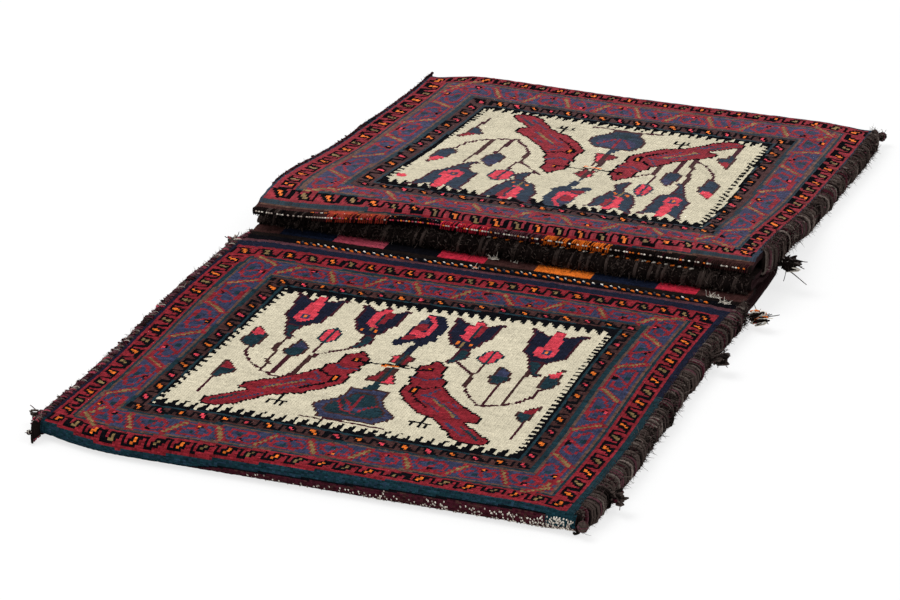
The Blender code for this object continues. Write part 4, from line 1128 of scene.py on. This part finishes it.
def strip_piece():
    """The whole strip as one closed sheet: fine where the pile shows, coarser where it doesn't."""
    front = face_cartoon(FOLD_KNOTS + FRONT_KNOTS + BAND_KNOTS, False)
    rear = face_cartoon(FOLD_KNOTS + REAR_KNOTS + LIP_KNOTS + 1, True)
    chance = np.random.default_rng(7)
    points = []
    uv = []
    faces = []
    colours = []
    kinds = []

    def add_row(row, count, side, rough):
        x = np.linspace(-STRIP_WIDTH / 2, STRIP_WIDTH / 2, count + 1)
        lift = chance.normal(0.0, rough, count + 1) if rough else 0.0
        start = len(points)
        points.extend(on_row(x, row, side, lift) + BAG_SHIFT)
        uv.extend(zip(x, [row.arc] * len(x)))
        return [(float(place), start + i) for i, place in enumerate(x)]

    def add_faces(made, look, kind):
        faces.extend(made)
        colours.extend(look)
        kinds.extend([kind] * len(made))

    outer = []
    inner = []
    starts = {}
    for i, row in enumerate(ROWS):
        starts.setdefault(row.stretch, i)
        rough = FACE_ROUGH if row.stretch.endswith("face") else BACK_ROUGH
        outer.append((i, add_row(row, ACROSS.get(row.stretch, ACROSS_COARSE), 1, rough)))
        if i % ROWS_INSIDE == 0 or i == len(ROWS) - 1:
            inner.append((i, add_row(row, ACROSS_INSIDE, -1, 0.0)))
    for (i, first), (_, second) in zip(outer, outer[1:]):
        stretch = ROWS[i].stretch
        even = len(first) == len(second)
        if even:
            made = [(a[1], b[1], d[1], c[1]) for a, b, c, d in zip(first, first[1:], second, second[1:])]
        else:
            made = zip_rows(first, second)
        add_faces(made, *row_look(stretch, i - starts[stretch], len(made), even, front, rear, chance))
    for (i, first), (_, second) in zip(inner, inner[1:]):
        made = [(a[1], c[1], d[1], b[1]) for a, b, c, d in zip(first, first[1:], second, second[1:])]
        hairy = ROWS[i].stretch in ("nose", "bridge_middle")
        add_faces(made, [DYES["goat" if hairy else "backing"]] * len(made), HAIR_KIND if hairy else FLAT_KIND)
    for end in (0, -1):
        sides = [[(float(i), row[end][1]) for i, row in rows] for rows in (outer, inner)]
        made = zip_rows(*sides)
        add_faces(made, [DYES["backing"]] * len(made), FLAT_KIND)
    for end in (0, -1):
        made = zip_rows(outer[end][1], inner[end][1])
        add_faces(made, [DYES["goat"]] * len(made), FLAT_KIND)
    strip = mesh_piece("strip", points, faces, colours, [PILE, FLATWEAVE, GOAT_HAIR], ["woven_strip"],
                       uv, kinds)


# Yarns: cords, overcast hems, twined rows, frays and hair


def unit(vector):
    return vector / np.linalg.norm(vector)


class Yarns:
    """Laid and loose yarns gathered into one piece."""

    def __init__(self, seed):
        self.points = []
        self.faces = []
        self.colours = []
        self.chance = np.random.default_rng(seed)

    def tube(self, rings, colour, uneven=0.0):
        """A skin over rings of points, closed at both ends; uneven is how much its shade may differ."""
        start = len(self.points)
        count = len(rings[0])
        for ring in rings:
            self.points.extend(ring)
        for k in range(len(rings) - 1):
            for side in range(count):
                after = (side + 1) % count
                low = start + k * count
                self.faces.append((low + side, low + after, low + count + after, low + count + side))
        last = start + (len(rings) - 1) * count
        self.faces.append(tuple(start + side for side in range(count)))
        self.faces.append(tuple(last + side for side in reversed(range(count))))
        shade = np.array(DYES[colour])
        if uneven:
            shade = shade * float(np.clip(self.chance.normal(1.0, uneven), 0.55, 1.5))
        self.colours.extend([shade] * (len(self.faces) - len(self.colours)))

    def strand(self, path, radii, colour, sides=4, lean=(0.31, 0.47, 0.83)):
        """A round yarn along a path, closed at both ends."""
        path = np.array(path, dtype=float)
        radii = np.broadcast_to(np.asarray(radii, dtype=float), (len(path),))
        path[:, 2] = np.maximum(path[:, 2], radii)
        ahead = np.gradient(path, axis=0)
        across = np.cross(ahead, np.array(lean))
        across /= np.linalg.norm(across, axis=1)[:, None] + 1e-12
        up = np.cross(across, ahead)
        up /= np.linalg.norm(up, axis=1)[:, None] + 1e-12
        angles = (np.arange(sides) * math.tau / sides)[None, :, None]
        ring = across[:, None, :] * np.cos(angles) + up[:, None, :] * np.sin(angles)
        self.tube(path[:, None, :] + ring * radii[:, None, None], colour, 0.18)

    def hair(self, root, direction, length, radius, colour, curl):
        """One loose end that leaves its root in a direction and bends as it goes."""
        bend = self.chance.normal(0.0, curl, 3)
        path = [root + direction * length * t + bend * length * t * t for t in (0.0, 0.35, 0.7, 1.0)]
        self.strand(path, (radius, radius * 0.9, radius * 0.6, radius * 0.25), colour, sides=3)

    def tail(self, root, direction, length, radius, colour, wave):
        """A long loose yarn end that wanders from side to side and thins out."""
        first = self.chance.normal(0.0, wave, 3)
        second = self.chance.normal(0.0, wave, 3)
        path = []
        for t in np.linspace(0.0, 1.0, 8):
            place = root + length * (direction * t + first * t * t + second * math.sin(5.0 * t) * 0.35 * t)
            place[2] = max(place[2], radius)
            path.append(place)
        self.strand(path, radius * np.linspace(1.0, 0.45, 8), colour)

    def loop(self, root, direction, length, radius, colour):
        """A small slack loop of yarn that stands out from its root."""
        sideways = self.chance.normal(0.0, 1.0, 3)
        sideways -= direction * float(np.dot(sideways, direction))
        sideways /= np.linalg.norm(sideways) + 1e-9
        path = [root + direction * length * math.sin(math.pi * t) + sideways * length * 0.55 * (t - 0.5)
                for t in np.linspace(0.0, 1.0, 7)]
        self.strand(path, radius, colour)

    def pick(self, choices):
        """One dye from (dye, weight) pairs."""
        weights = np.array([weight for _, weight in choices], dtype=float)
        return choices[int(self.chance.choice(len(choices), p=weights / weights.sum()))][0]

    def steps(self, start, end, pitch, uneven):
        """Places from start to end, a pitch apart more or less."""
        place = start
        while place < end:
            yield place
            place += pitch * (1.0 + self.chance.normal(0.0, uneven))

    def piece(self, name, replaces):
        mesh_piece(name, self.points, self.faces, self.colours, [CORD_YARN], replaces)


class Edge:
    """Both edges of a pouch on one side, as heights and places along y."""

    def __init__(self, side, pouch):
        self.side = side
        u = side * STRIP_WIDTH / 2
        faces = stretch_rows(pouch + "_face", pouch + "_band")
        if pouch == "front":
            backs = stretch_rows("front_back")
        else:
            backs = stretch_rows("nose", "descent", "rear_back")
            backs = [row for row in backs if row.y > NOSE_CENTRE_Y + 0.004]
        self.top = np.array(sorted((tuple(on_row(u, row, 1)) for row in faces), key=lambda place: place[1]))
        self.under = np.array(sorted((tuple(on_row(u, row, 1)) for row in backs), key=lambda place: place[1]))

    def at(self, y):
        """The edge's x, the underside and the top at y."""
        x = np.interp(y, self.top[:, 1], self.top[:, 0]) + BAG_SHIFT[0]
        low = np.interp(y, self.under[:, 1], self.under[:, 2])
        high = np.interp(y, self.top[:, 1], self.top[:, 2])
        return float(x), float(low), float(high)


def cord_point(edge, y, angle, bulge, reach, lip):
    """A point round a side cord's section; the angle is 0 straight out and 90 on top."""
    x, low, high = edge.at(y)
    middle = (low + high) / 2
    rise = (high - low) / 2 + lip
    turned = math.radians(angle)
    out = math.cos(turned) * (bulge if math.cos(turned) > 0 else reach)
    up = math.copysign(abs(math.sin(turned)) ** 0.5, math.sin(turned))
    return np.array([x + edge.side * out, y, max(0.0012, middle + rise * up)])


# The cores of cords and hems, their loose ends, and the cords' lower end
CORE_ANGLES = range(-165, 166, 30)
CORE_STEP = 0.006
HAIR_RADIUS = 0.00030
LOOP_RADIUS = 0.0007
CORD_LOW = -FOLD_CENTRE_Y - 0.004
CORD_TAPER = 0.025

# Mixtures of yarn, as dyes and their weights
LEFT_YARNS = (("goat", 1.6), ("umber", 2), ("maroon", 2), ("mauve", 4), ("rose", 0.8), ("dull", 0.8),
              ("ash", 1.4))
KNOT_YARNS = (("cotton", 2), ("goat", 3), ("maroon", 1))
BARE_YARNS = (("maroon", 4), ("goat", 3), ("mauve", 1.5), ("slate", 1))
RIGHT_YARNS = (("goat", 3), ("umber", 6), ("ash", 1.3), ("mauve", 0.8), ("maroon", 0.8))


def taper(y, start, end):
    """How full a cord is near its ends."""
    return 0.40 + 0.60 * float(ease((y - start) / CORD_TAPER) * ease((end - y) / CORD_TAPER))


def side_cord(side, pouch, bulge, reach, lip, pitch, radius, yarns, hairs, loops, seed):
    """A cord overcast round both edges of a pouch: a core, slanting wraps, loose hairs and slack loops."""
    name = pouch + ("_right" if side > 0 else "_left")
    start, end = (CORD_LOW, FRONT_SEAM_END) if pouch == "front" else (REAR_SEAM_END, -CORD_LOW)
    edge = Edge(side, pouch)
    cord = Yarns(seed)
    chance = cord.chance
    rings = []
    for y in np.arange(start, end, CORE_STEP):
        full = taper(y, start, end)
        sizes = ((bulge - radius * 0.7) * full, reach * full, lip - radius * 0.5)
        rings.append([cord_point(edge, y, angle, *sizes) for angle in CORE_ANGLES])
    cord.tube(rings, "goat")
    for y in cord.steps(start, end, pitch, 0.12):
        swell = 1.0 + 0.16 * math.sin(y * 61.0 + seed) + 0.10 * math.sin(y * 23.0 + seed)
        swell = (swell + chance.normal(0.0, 0.13)) * taper(y, start, end)
        tilt = pitch * (1.5 + chance.normal(0.0, 0.55))
        thick = radius * (1.0 + chance.normal(0.0, 0.25))
        sizes = (bulge * swell, reach * taper(y, start, end), lip)
        path = [cord_point(edge, y + tilt * angle / 140, angle, *sizes) for angle in range(-140, 141, 28)]
        cord.strand(path, thick, cord.pick(yarns), sides=5, lean=(0.0, 1.0, 0.0))
    for _ in range(hairs):
        y = chance.uniform(start, end)
        angle = chance.uniform(-60, 120)
        root = cord_point(edge, y, angle, bulge * taper(y, start, end), reach, lip)
        turned = math.radians(angle)
        away = unit(np.array([side * math.cos(turned), chance.normal(0.0, 0.5), 0.6 * math.sin(turned)]))
        cord.hair(root, away, bulge * chance.uniform(0.14, 0.40), HAIR_RADIUS, cord.pick(yarns), 0.9)
    for _ in range(loops):
        y = chance.uniform(start, end)
        angle = chance.uniform(-40, 60)
        root = cord_point(edge, y, angle, bulge * 0.8 * taper(y, start, end), reach, lip)
        away = unit(np.array([side, chance.normal(0.0, 0.5), 0.25]))
        cord.loop(root, away, chance.uniform(0.0015, 0.0042), LOOP_RADIUS, cord.pick(yarns))
    cord.piece(name + "_cord", [name + "_binding"])


def side_cords():
    side_cord(-1, "front", bulge=0.0055, reach=0.003, lip=0.0009, pitch=0.0025, radius=0.0010,
              yarns=LEFT_YARNS, hairs=1900, loops=260, seed=11)
    side_cord(1, "front", bulge=0.0088, reach=0.0045, lip=0.0012, pitch=0.0026, radius=0.0012,
              yarns=RIGHT_YARNS, hairs=3000, loops=150, seed=12)
    side_cord(-1, "rear", bulge=0.0040, reach=0.002, lip=0.0006, pitch=0.0026, radius=0.0008,
              yarns=BARE_YARNS, hairs=900, loops=30, seed=13)
    side_cord(1, "rear", bulge=0.0086, reach=0.0045, lip=0.0012, pitch=0.0026, radius=0.0012,
              yarns=RIGHT_YARNS, hairs=3000, loops=150, seed=14)


HEM_HALF = FLAT / 2 + HEM_CLEAR
HEM_TUCK = 0.006
HEM_STEPS = 67
HEM_HAIRS = 160
DOT_PITCH = 0.0029


def hem_point(rows, x, angle, out, thick):
    """A point round a hem's section at the last of two rows; the angle is 0 straight out, 90 on the face."""
    end, back = [on_row(x, row, 1) for row in rows]
    out_way = unit((end - back) * np.array([0.0, 1.0, 1.0]))
    up_way = np.array([0.0, -out_way[2], out_way[1]])
    if up_way[2] < 0:
        up_way = -up_way
    turned = math.radians(angle)
    reach = math.cos(turned) * (out if math.cos(turned) > 0 else HEM_TUCK)
    up = math.copysign(abs(math.sin(turned)) ** 0.6, math.sin(turned)) * thick
    return end + out_way * reach + up_way * up + BAG_SHIFT


def hem_piece(name, last, before, pitch, radius, ground_at, dots_at, dot_angle, seed):
    """A mouth hem overcast with slanting stitches on a dark core, and a row of short warp ends along it."""
    hem = Yarns(seed)
    chance = hem.chance
    left, right = -STRIP_WIDTH / 2, STRIP_WIDTH / 2
    rows = [Row(row.y, row.z, 0.0, row.layer, row.stretch) for row in (last, before)]
    hem.tube([[hem_point(rows, x, angle, 0.0012, HEM_HALF + 0.0006) for angle in CORE_ANGLES]
              for x in np.linspace(left, right, HEM_STEPS)], "goat")
    for x in hem.steps(left + pitch, right - pitch, pitch, 0.10):
        colour = hem.pick(ground_at(x))
        path = [hem_point(rows, x + pitch * 1.1 * angle / 140, angle, 0.0021, HEM_HALF + 0.0011)
                for angle in range(-140, 141, 35)]
        hem.strand(path, radius * (1.0 + chance.normal(0.0, 0.15)), colour, lean=(1.0, 0.0, 0.0))
    for x in hem.steps(left + pitch, right - pitch, DOT_PITCH, 0.12):
        path = [hem_point(rows, x + 0.0011 * t, dot_angle, 0.0036, HEM_HALF + 0.0024 - 0.0006 * abs(t))
                for t in (-1.0, -0.4, 0.4, 1.0)]
        hem.strand(path, (0.0004, 0.0009, 0.0009, 0.0004), hem.pick(dots_at(x)), sides=5,
                   lean=(0.0, 0.3, 1.0))
    for _ in range(HEM_HAIRS):
        x = chance.uniform(left, right)
        root = hem_point(rows, x, chance.uniform(-30, 120), 0.0016, HEM_HALF + 0.0008)
        away = unit(np.array([chance.normal(0.0, 0.6), -0.5, 0.8]))
        hem.hair(root, away, chance.uniform(0.002, 0.006), 0.00025, "goat", 0.5)
    hem.piece(name + "_yarn", [name])


HEM_PLAIN = (("goat", 5), ("umber", 2), ("black", 1))
HEM_DOTTED = (("goat", 1.6), ("dull", 3), ("cotton", 1.5))
HEM_TWINED = (("goat", 2.2), ("rose", 2), ("orange", 1.6), ("dull", 1), ("crimson", 1.4))
HEM_SPECKED = (("goat", 2.4), ("dull", 2), ("cotton", 1.6), ("orange", 1.0))
REAR_PLAIN_END = -0.200
REAR_DOTTED_END = -0.175
REAR_TWINED_END = -0.035


def front_hem_yarns(x):
    """The front hem is plain all along."""
    return HEM_PLAIN


def rear_hem_yarns(x):
    """The short ends along the rear hem change twice on the way across."""
    if x < REAR_DOTTED_END:
        return HEM_DOTTED
    if x < REAR_TWINED_END:
        return HEM_TWINED
    return HEM_SPECKED


def rear_hem_ground(x):
    """The hem's stitches carry on the colours of the slit-woven blocks beside it."""
    if x < REAR_PLAIN_END:
        return HEM_PLAIN
    block = [colour for start, colour in REAR_BLOCKS if start <= -x][-1]
    return ((block, 6), ("maroon", 1), ("goat", 0.7))


def run_place(rows, heading, v):
    """Fractional place along a run of rows of a distance v from the bottom fold."""
    places = [FOLD_CENTRE_Y + row.y * heading for row in rows]
    if places[0] > places[-1]:
        return len(rows) - 1 - float(np.interp(v, places[::-1], range(len(rows))))
    return float(np.interp(v, places, range(len(rows))))


def placed_on(rows, place, x, lift=0.0, side=1):
    """A point on a surface, or lifted off it, at a fractional place along a run of rows."""
    low = min(len(rows) - 2, max(0, math.floor(place)))
    first, second = [on_row(x, row, side, lift * side) for row in rows[low:low + 2]]
    return first + (second - first) * (place - low) + BAG_SHIFT


# Places along a short laid yarn, as shares of its length from the middle
LAID = (-0.5, -0.25, 0.0, 0.25, 0.5)


def laid_yarn(twined, rows, heading, x, v, length, slope, colour, radius):
    """A short yarn that lies on a band, slanting, thickest in its middle."""
    path = [placed_on(rows, run_place(rows, heading, v + slope * length * t), x + length * t,
                      0.0004 * (1.0 - 2.4 * abs(t))) for t in LAID]
    twined.strand(path, (radius * 0.55, radius, radius * 1.1, radius, radius * 0.55), colour, sides=5,
                  lean=(0.0, 0.0, 1.0))


def front_line(x):
    """How far from the bottom fold the front band's twined rows run."""
    return 0.4920 + 0.0035 * math.sin(17.0 * x + 0.6) + 0.0030 * float(ease((x - 0.12) / 0.1))


def twined_rows(twined):
    """Twined rows of the mouth bands: short yarns that show by turns, orange, dark blue and white."""
    chance = twined.chance
    rows = stretch_rows("front_band")
    for number, x in enumerate(twined.steps(-0.205, 0.232, 0.0046, 0.14)):
        v = front_line(x)
        worn = 0.30 + 0.5 * float(ease((x - 0.16) / 0.06))
        if number % 2 == 0:
            if chance.random() > worn * 0.35:
                laid_yarn(twined, rows, 1, x, v - 0.0008, 0.0048, -0.5, "orange", 0.0011)
            laid_yarn(twined, rows, 1, x + 0.001, v + 0.0026, 0.0050, -0.5, "black", 0.0012)
        else:
            laid_yarn(twined, rows, 1, x, v - 0.0010, 0.0052, -0.5, "navy", 0.0012)
            colour = "cotton" if chance.random() > worn else "grey"
            laid_yarn(twined, rows, 1, x - 0.001, v + 0.0024, 0.0036, -0.5, colour, 0.0010)
    rows = stretch_rows("rear_face", "rear_band")
    turns = ("orange", "rose", "cotton", "orange", "goat")
    for number, x in enumerate(twined.steps(-0.200, 0.010, 0.0050, 0.08)):
        v = 0.4765 + 0.0025 * float(ease((x + 0.20) / 0.1))
        laid_yarn(twined, rows, -1, x, v, 0.0056, 0.4, turns[number % len(turns)], 0.0013)


ROLL_YARNS = (("goat", 5), ("umber", 5), ("ash", 0.7))
ROLL_END = 0.262
ROLL_HAIRS = 6200
ROLL_GROUND = (("goat", 5), ("umber", 1.5))


def roll_point(x, share, lift):
    """A point over the bridge's roll; share 0 is under its nose and 1 is the far end of its top."""
    rows = stretch_rows("nose")
    return placed_on(rows, share * (len(rows) - 1), x, lift, -1)


def roll_yarns(twined):
    """What wraps the roll: thick locks of goat hair laid over it, stitches on its top, and their fuzz."""
    chance = twined.chance
    for x in twined.steps(-ROLL_END, ROLL_END, 0.0027, 0.15):
        slant = 0.0050 + chance.normal(0.0, 0.0015)
        rise = 0.0026 + 0.0022 * float(ease((x + 0.20) / 0.25)) + chance.normal(0.0, 0.0005)
        path = []
        for t in np.linspace(0.0, 1.0, 9):
            out = rise * max(0.0, math.sin(math.pi * min(1.0, 0.06 + 0.94 * t))) ** 0.6
            path.append(roll_point(x + slant * (t - 0.5) * 2.0, 0.36 * t, out))
        twined.strand(path, 0.0021 * (1.0 + chance.normal(0.0, 0.15)), twined.pick(ROLL_GROUND), sides=5,
                      lean=(1.0, 0.0, 0.0))
    for number, x in enumerate(twined.steps(-0.010, 0.205, 0.0062, 0.15)):
        share = 0.285 - 0.02 * float(ease((x - 0.05) / 0.1))
        colour = "orange" if number % 2 else ("cotton" if chance.random() < 0.6 else "goat")
        path = [roll_point(x + 0.0046 * t, share + 0.012 * t, 0.0052 + 0.0006 * (1.0 - 2.2 * abs(t)))
                for t in LAID]
        twined.strand(path, (0.0005, 0.0009, 0.0010, 0.0009, 0.0005), colour, lean=(0.0, 0.0, 1.0))
    for _ in range(ROLL_HAIRS):
        x = chance.uniform(-ROLL_END, ROLL_END)
        share = chance.uniform(0.0, 0.34)
        rise = 0.0030 + 0.0020 * float(ease((x + 0.20) / 0.25))
        root = roll_point(x, share, rise)
        away = roll_point(x, share, rise + 0.001) - root
        away = unit(unit(away) * 0.9 + chance.normal(0.0, 0.75, 3))
        twined.hair(root, away, chance.uniform(0.0014, 0.0030), 0.00062, twined.pick(ROLL_YARNS), 0.9)


# Where the bottom fold has worn through: number of warp ends, from where to where across and round the fold
WORN_FOLD = ((60, -0.05, 0.10, 0.55, 0.95), (190, 0.06, 0.235, 0.42, 0.95), (150, 0.232, 0.262, 0.30, 0.98))


def fold_bits(twined):
    """Short ends of the white warp where the bottom fold has worn through, more of them to the right."""
    chance = twined.chance
    rows = stretch_rows("front_fold")
    for count, left, right, low, high in WORN_FOLD:
        for _ in range(count):
            x = left + (right - left) * chance.random() ** 0.7
            place = chance.uniform(low, high) * (len(rows) - 1)
            path = [placed_on(rows, place + t * 1.2, x + 0.0003 * t, 0.0003) for t in (-0.5, 0.0, 0.5)]
            colour = "cotton" if chance.random() < 0.7 else "dull"
            twined.strand(path, (0.0004, 0.0008, 0.0004), colour, lean=(1.0, 0.0, 0.0))


# White tufts of the front band: place across, distance from the bottom fold, number of ends and their length
TUFTS = ((-0.004, 0.5200, 18, 0.009), (-0.013, 0.4905, 8, 0.005), (0.020, 0.5200, 4, 0.004),
         (0.232, 0.5050, 20, 0.008), (0.246, 0.4960, 22, 0.008))


def white_tufts(twined):
    """White yarn ends at the front mouth, and the small ones along the bands and at the right end."""
    chance = twined.chance
    rows = stretch_rows("front_band")
    for x, v, count, length in TUFTS:
        place = run_place(rows, 1, v)
        for _ in range(count):
            root = placed_on(rows, place, x + chance.normal(0.0, 0.0022))
            away = np.array([chance.normal(0.7, 0.5), chance.normal(0.1, 0.4), abs(chance.normal(0.3, 0.2))])
            reach = length * chance.uniform(0.35, 0.9)
            twined.tail(root, unit(away), reach, 0.00045, "cotton", 0.45)


def band_yarns():
    twined = Yarns(31)
    for lay in (twined_rows, roll_yarns, white_tufts, fold_bits):
        lay(twined)
    twined.piece("band_yarns", None)


MOUTH_YARNS = (("goat", 4), ("cotton", 2.5), ("red", 1), ("orange", 1))
REAR_YARNS = (("goat", 5), ("grey", 2), ("cotton", 0.6))
# Where each fray grows: its node, direction, length, number of ends, and its yarns
FRAYS = (
    ("fray_right_front", (0.9, 0.3, 0.25), 0.019, 26, RIGHT_YARNS),
    ("fray_right_fold", (0.9, -0.3, 0.05), 0.014, 20, RIGHT_YARNS),
    ("fray_right_mouth", (0.8, 0.3, 0.2), 0.022, 34, MOUTH_YARNS),
    ("fray_right_rear", (0.9, -0.2, 0.1), 0.026, 34, REAR_YARNS),
    ("fray_left_mouth", (-0.9, 0.3, 0.2), 0.013, 16, LEFT_YARNS),
    ("fray_left_fold", (-0.9, -0.4, 0.05), 0.013, 16, LEFT_YARNS),
)


def fray_pieces():
    """Frays of loose yarn ends along the cords, each a bunch that spreads from its root."""
    for seed, (node, lean, length, ends, yarns) in enumerate(FRAYS):
        low, high = np.array(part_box(node))
        lean = unit(np.array(lean))
        root = (low + high) / 2 - lean * (high - low) * 0.45
        bunch = Yarns(50 + seed)
        chance = bunch.chance
        for _ in range(ends // 2):
            away = unit(lean + chance.normal(0.0, 0.22, 3))
            start = root + chance.normal(0.0, 0.0022, 3)
            reach = length * chance.uniform(0.20, 0.60)
            start[2] = max(start[2], 0.002)
            bunch.tail(start, away, reach, 0.00080, bunch.pick(yarns), 0.6)
        for _ in range(ends * 2):
            away = unit(lean + chance.normal(0.0, 0.35, 3))
            away[2] = abs(away[2])
            start = root + chance.normal(0.0, 0.0020, 3)
            start[2] = max(start[2], 0.003)
            bunch.loop(start, away, length * chance.uniform(0.25, 0.62), 0.0010, bunch.pick(yarns))
        bunch.piece(node + "_ends", [node])


def corner_knot(pouch, side, seed):
    """Knotted end of a cord at a bottom fold: turns of yarn round each other, with cut ends."""
    node = pouch + ("_right" if side > 0 else "_left") + "_knot"
    low, high = np.array(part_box(node))
    middle = (low + high) / 2
    size = float(max(high - low)) / 2
    out = np.array([side * 0.8, -1.2 if pouch == "front" else 1.2, 0.0])
    knot = Yarns(seed)
    chance = knot.chance
    yarns = RIGHT_YARNS if side > 0 else KNOT_YARNS
    for _ in range(9):
        first = unit(chance.normal(0.0, 1.0, 3))
        second = unit(np.cross(first, chance.normal(0.0, 1.0, 3)))
        circle = [middle + size * 0.62 * (first * math.cos(angle) + second * math.sin(angle))
                  for angle in np.linspace(0.0, math.tau * 0.93, 11)]
        knot.strand(circle, size * 0.24, knot.pick(yarns), sides=5, lean=np.cross(first, second))
    for _ in range(7):
        away = unit(chance.normal(0.0, 1.0, 3) + out)
        away[2] = max(away[2], -0.2)
        knot.tail(middle, away, size * 1.1, 0.00050, knot.pick(yarns), 0.3)
    knot.piece(node + "_yarn", [node])


# Camera, floor and light


CAMERA_PLACE = (1.239, -3.501, 1.577)
CAMERA_YAW = math.radians(-20.116)
CAMERA_PITCH = math.radians(23.282)
CAMERA_ROLL = math.radians(0.309)
CAMERA_LENS = 159.69
FLOOR_DROP = 0.0005
FLOOR_GLOW = 0.72
WORLD_STRENGTH = 0.65
# Each lamp's name, place, size and power
LAMPS = (("key", (-2.4, 0.2, 4.3), 2.6, 124.0), ("fill", (2.6, -0.6, 3.4), 2.6, 32.0))


def camera():
    data = bpy.data.cameras.new("view")
    thing = bpy.data.objects.new("view", data)
    bpy.context.collection.objects.link(thing)
    level = math.cos(CAMERA_PITCH)
    ahead = Vector((math.sin(CAMERA_YAW) * level, math.cos(CAMERA_YAW) * level, -math.sin(CAMERA_PITCH)))
    right = Vector((math.cos(CAMERA_YAW), -math.sin(CAMERA_YAW), 0.0))
    up = right.cross(ahead)
    turned_right = right * math.cos(CAMERA_ROLL) + up * math.sin(CAMERA_ROLL)
    turned_up = up * math.cos(CAMERA_ROLL) - right * math.sin(CAMERA_ROLL)
    axes = Matrix((turned_right, turned_up, -ahead)).transposed().to_4x4()
    thing.matrix_world = Matrix.Translation(Vector(CAMERA_PLACE) + Vector(BAG_SHIFT)) @ axes
    data.sensor_width = 36.0
    data.lens = CAMERA_LENS
    data.clip_end = 60.0
    bpy.context.scene.camera = thing


def floor():
    """A pale floor that looks nearly as bright to the camera as white paper."""
    bpy.ops.object.select_all(action="DESELECT")
    bpy.ops.mesh.primitive_plane_add(size=30.0, location=(0.0, 0.0, -FLOOR_DROP))
    thing = bpy.context.object
    thing.name = "floor"
    white = bpy.data.materials.new("floor_white")
    white.use_nodes = True
    shader = white.node_tree.nodes["Principled BSDF"]
    shader.inputs["Base Color"].default_value = (0.92, 0.92, 0.92, 1.0)
    shader.inputs["Roughness"].default_value = 0.9
    n = Nodes(white.node_tree)
    seen = n.add("ShaderNodeLightPath").outputs["Is Camera Ray"]
    glow = n.add("ShaderNodeEmission", Color=(1.0, 1.0, 1.0, 1.0), Strength=1.0)
    mixed = n.add("ShaderNodeMixShader", Fac=n.reckon("MULTIPLY", seen, FLOOR_GLOW))
    n.give(shader.outputs["BSDF"], mixed.inputs[1])
    n.give(glow.outputs["Emission"], mixed.inputs[2])
    n.give(mixed.outputs["Shader"], white.node_tree.nodes["Material Output"].inputs["Surface"])
    thing.data.materials.append(white)


def light():
    world = bpy.data.worlds.new("studio")
    world.use_nodes = True
    background = world.node_tree.nodes["Background"].inputs
    background["Color"].default_value = (1.0, 1.0, 1.0, 1.0)
    background["Strength"].default_value = WORLD_STRENGTH
    bpy.context.scene.world = world
    for name, place, size, power in LAMPS:
        lamp = bpy.data.lights.new(name, "AREA")
        lamp.size = size
        lamp.energy = power
        thing = bpy.data.objects.new(name, lamp)
        bpy.context.collection.objects.link(thing)
        thing.location = place
        thing.rotation_euler = (-Vector(place)).to_track_quat("-Z", "Y").to_euler()
    bpy.context.scene.view_settings.view_transform = "Standard"


camera()
floor()
light()
strip_piece()
side_cords()
hem_piece("front_mouth_hem", ROWS[0], ROWS[1], pitch=0.0040, radius=0.00085, ground_at=front_hem_yarns,
          dots_at=front_hem_yarns, dot_angle=78, seed=21)
hem_piece("rear_mouth_hem", ROWS[-1], ROWS[-2], pitch=0.0022, radius=0.00080, ground_at=rear_hem_ground,
          dots_at=rear_hem_yarns, dot_angle=12, seed=22)
band_yarns()
fray_pieces()
for knot_pouch, first_seed in (("front", 70), ("rear", 72)):
    for knot_side in (-1, 1):
        corner_knot(knot_pouch, knot_side, first_seed + knot_side)
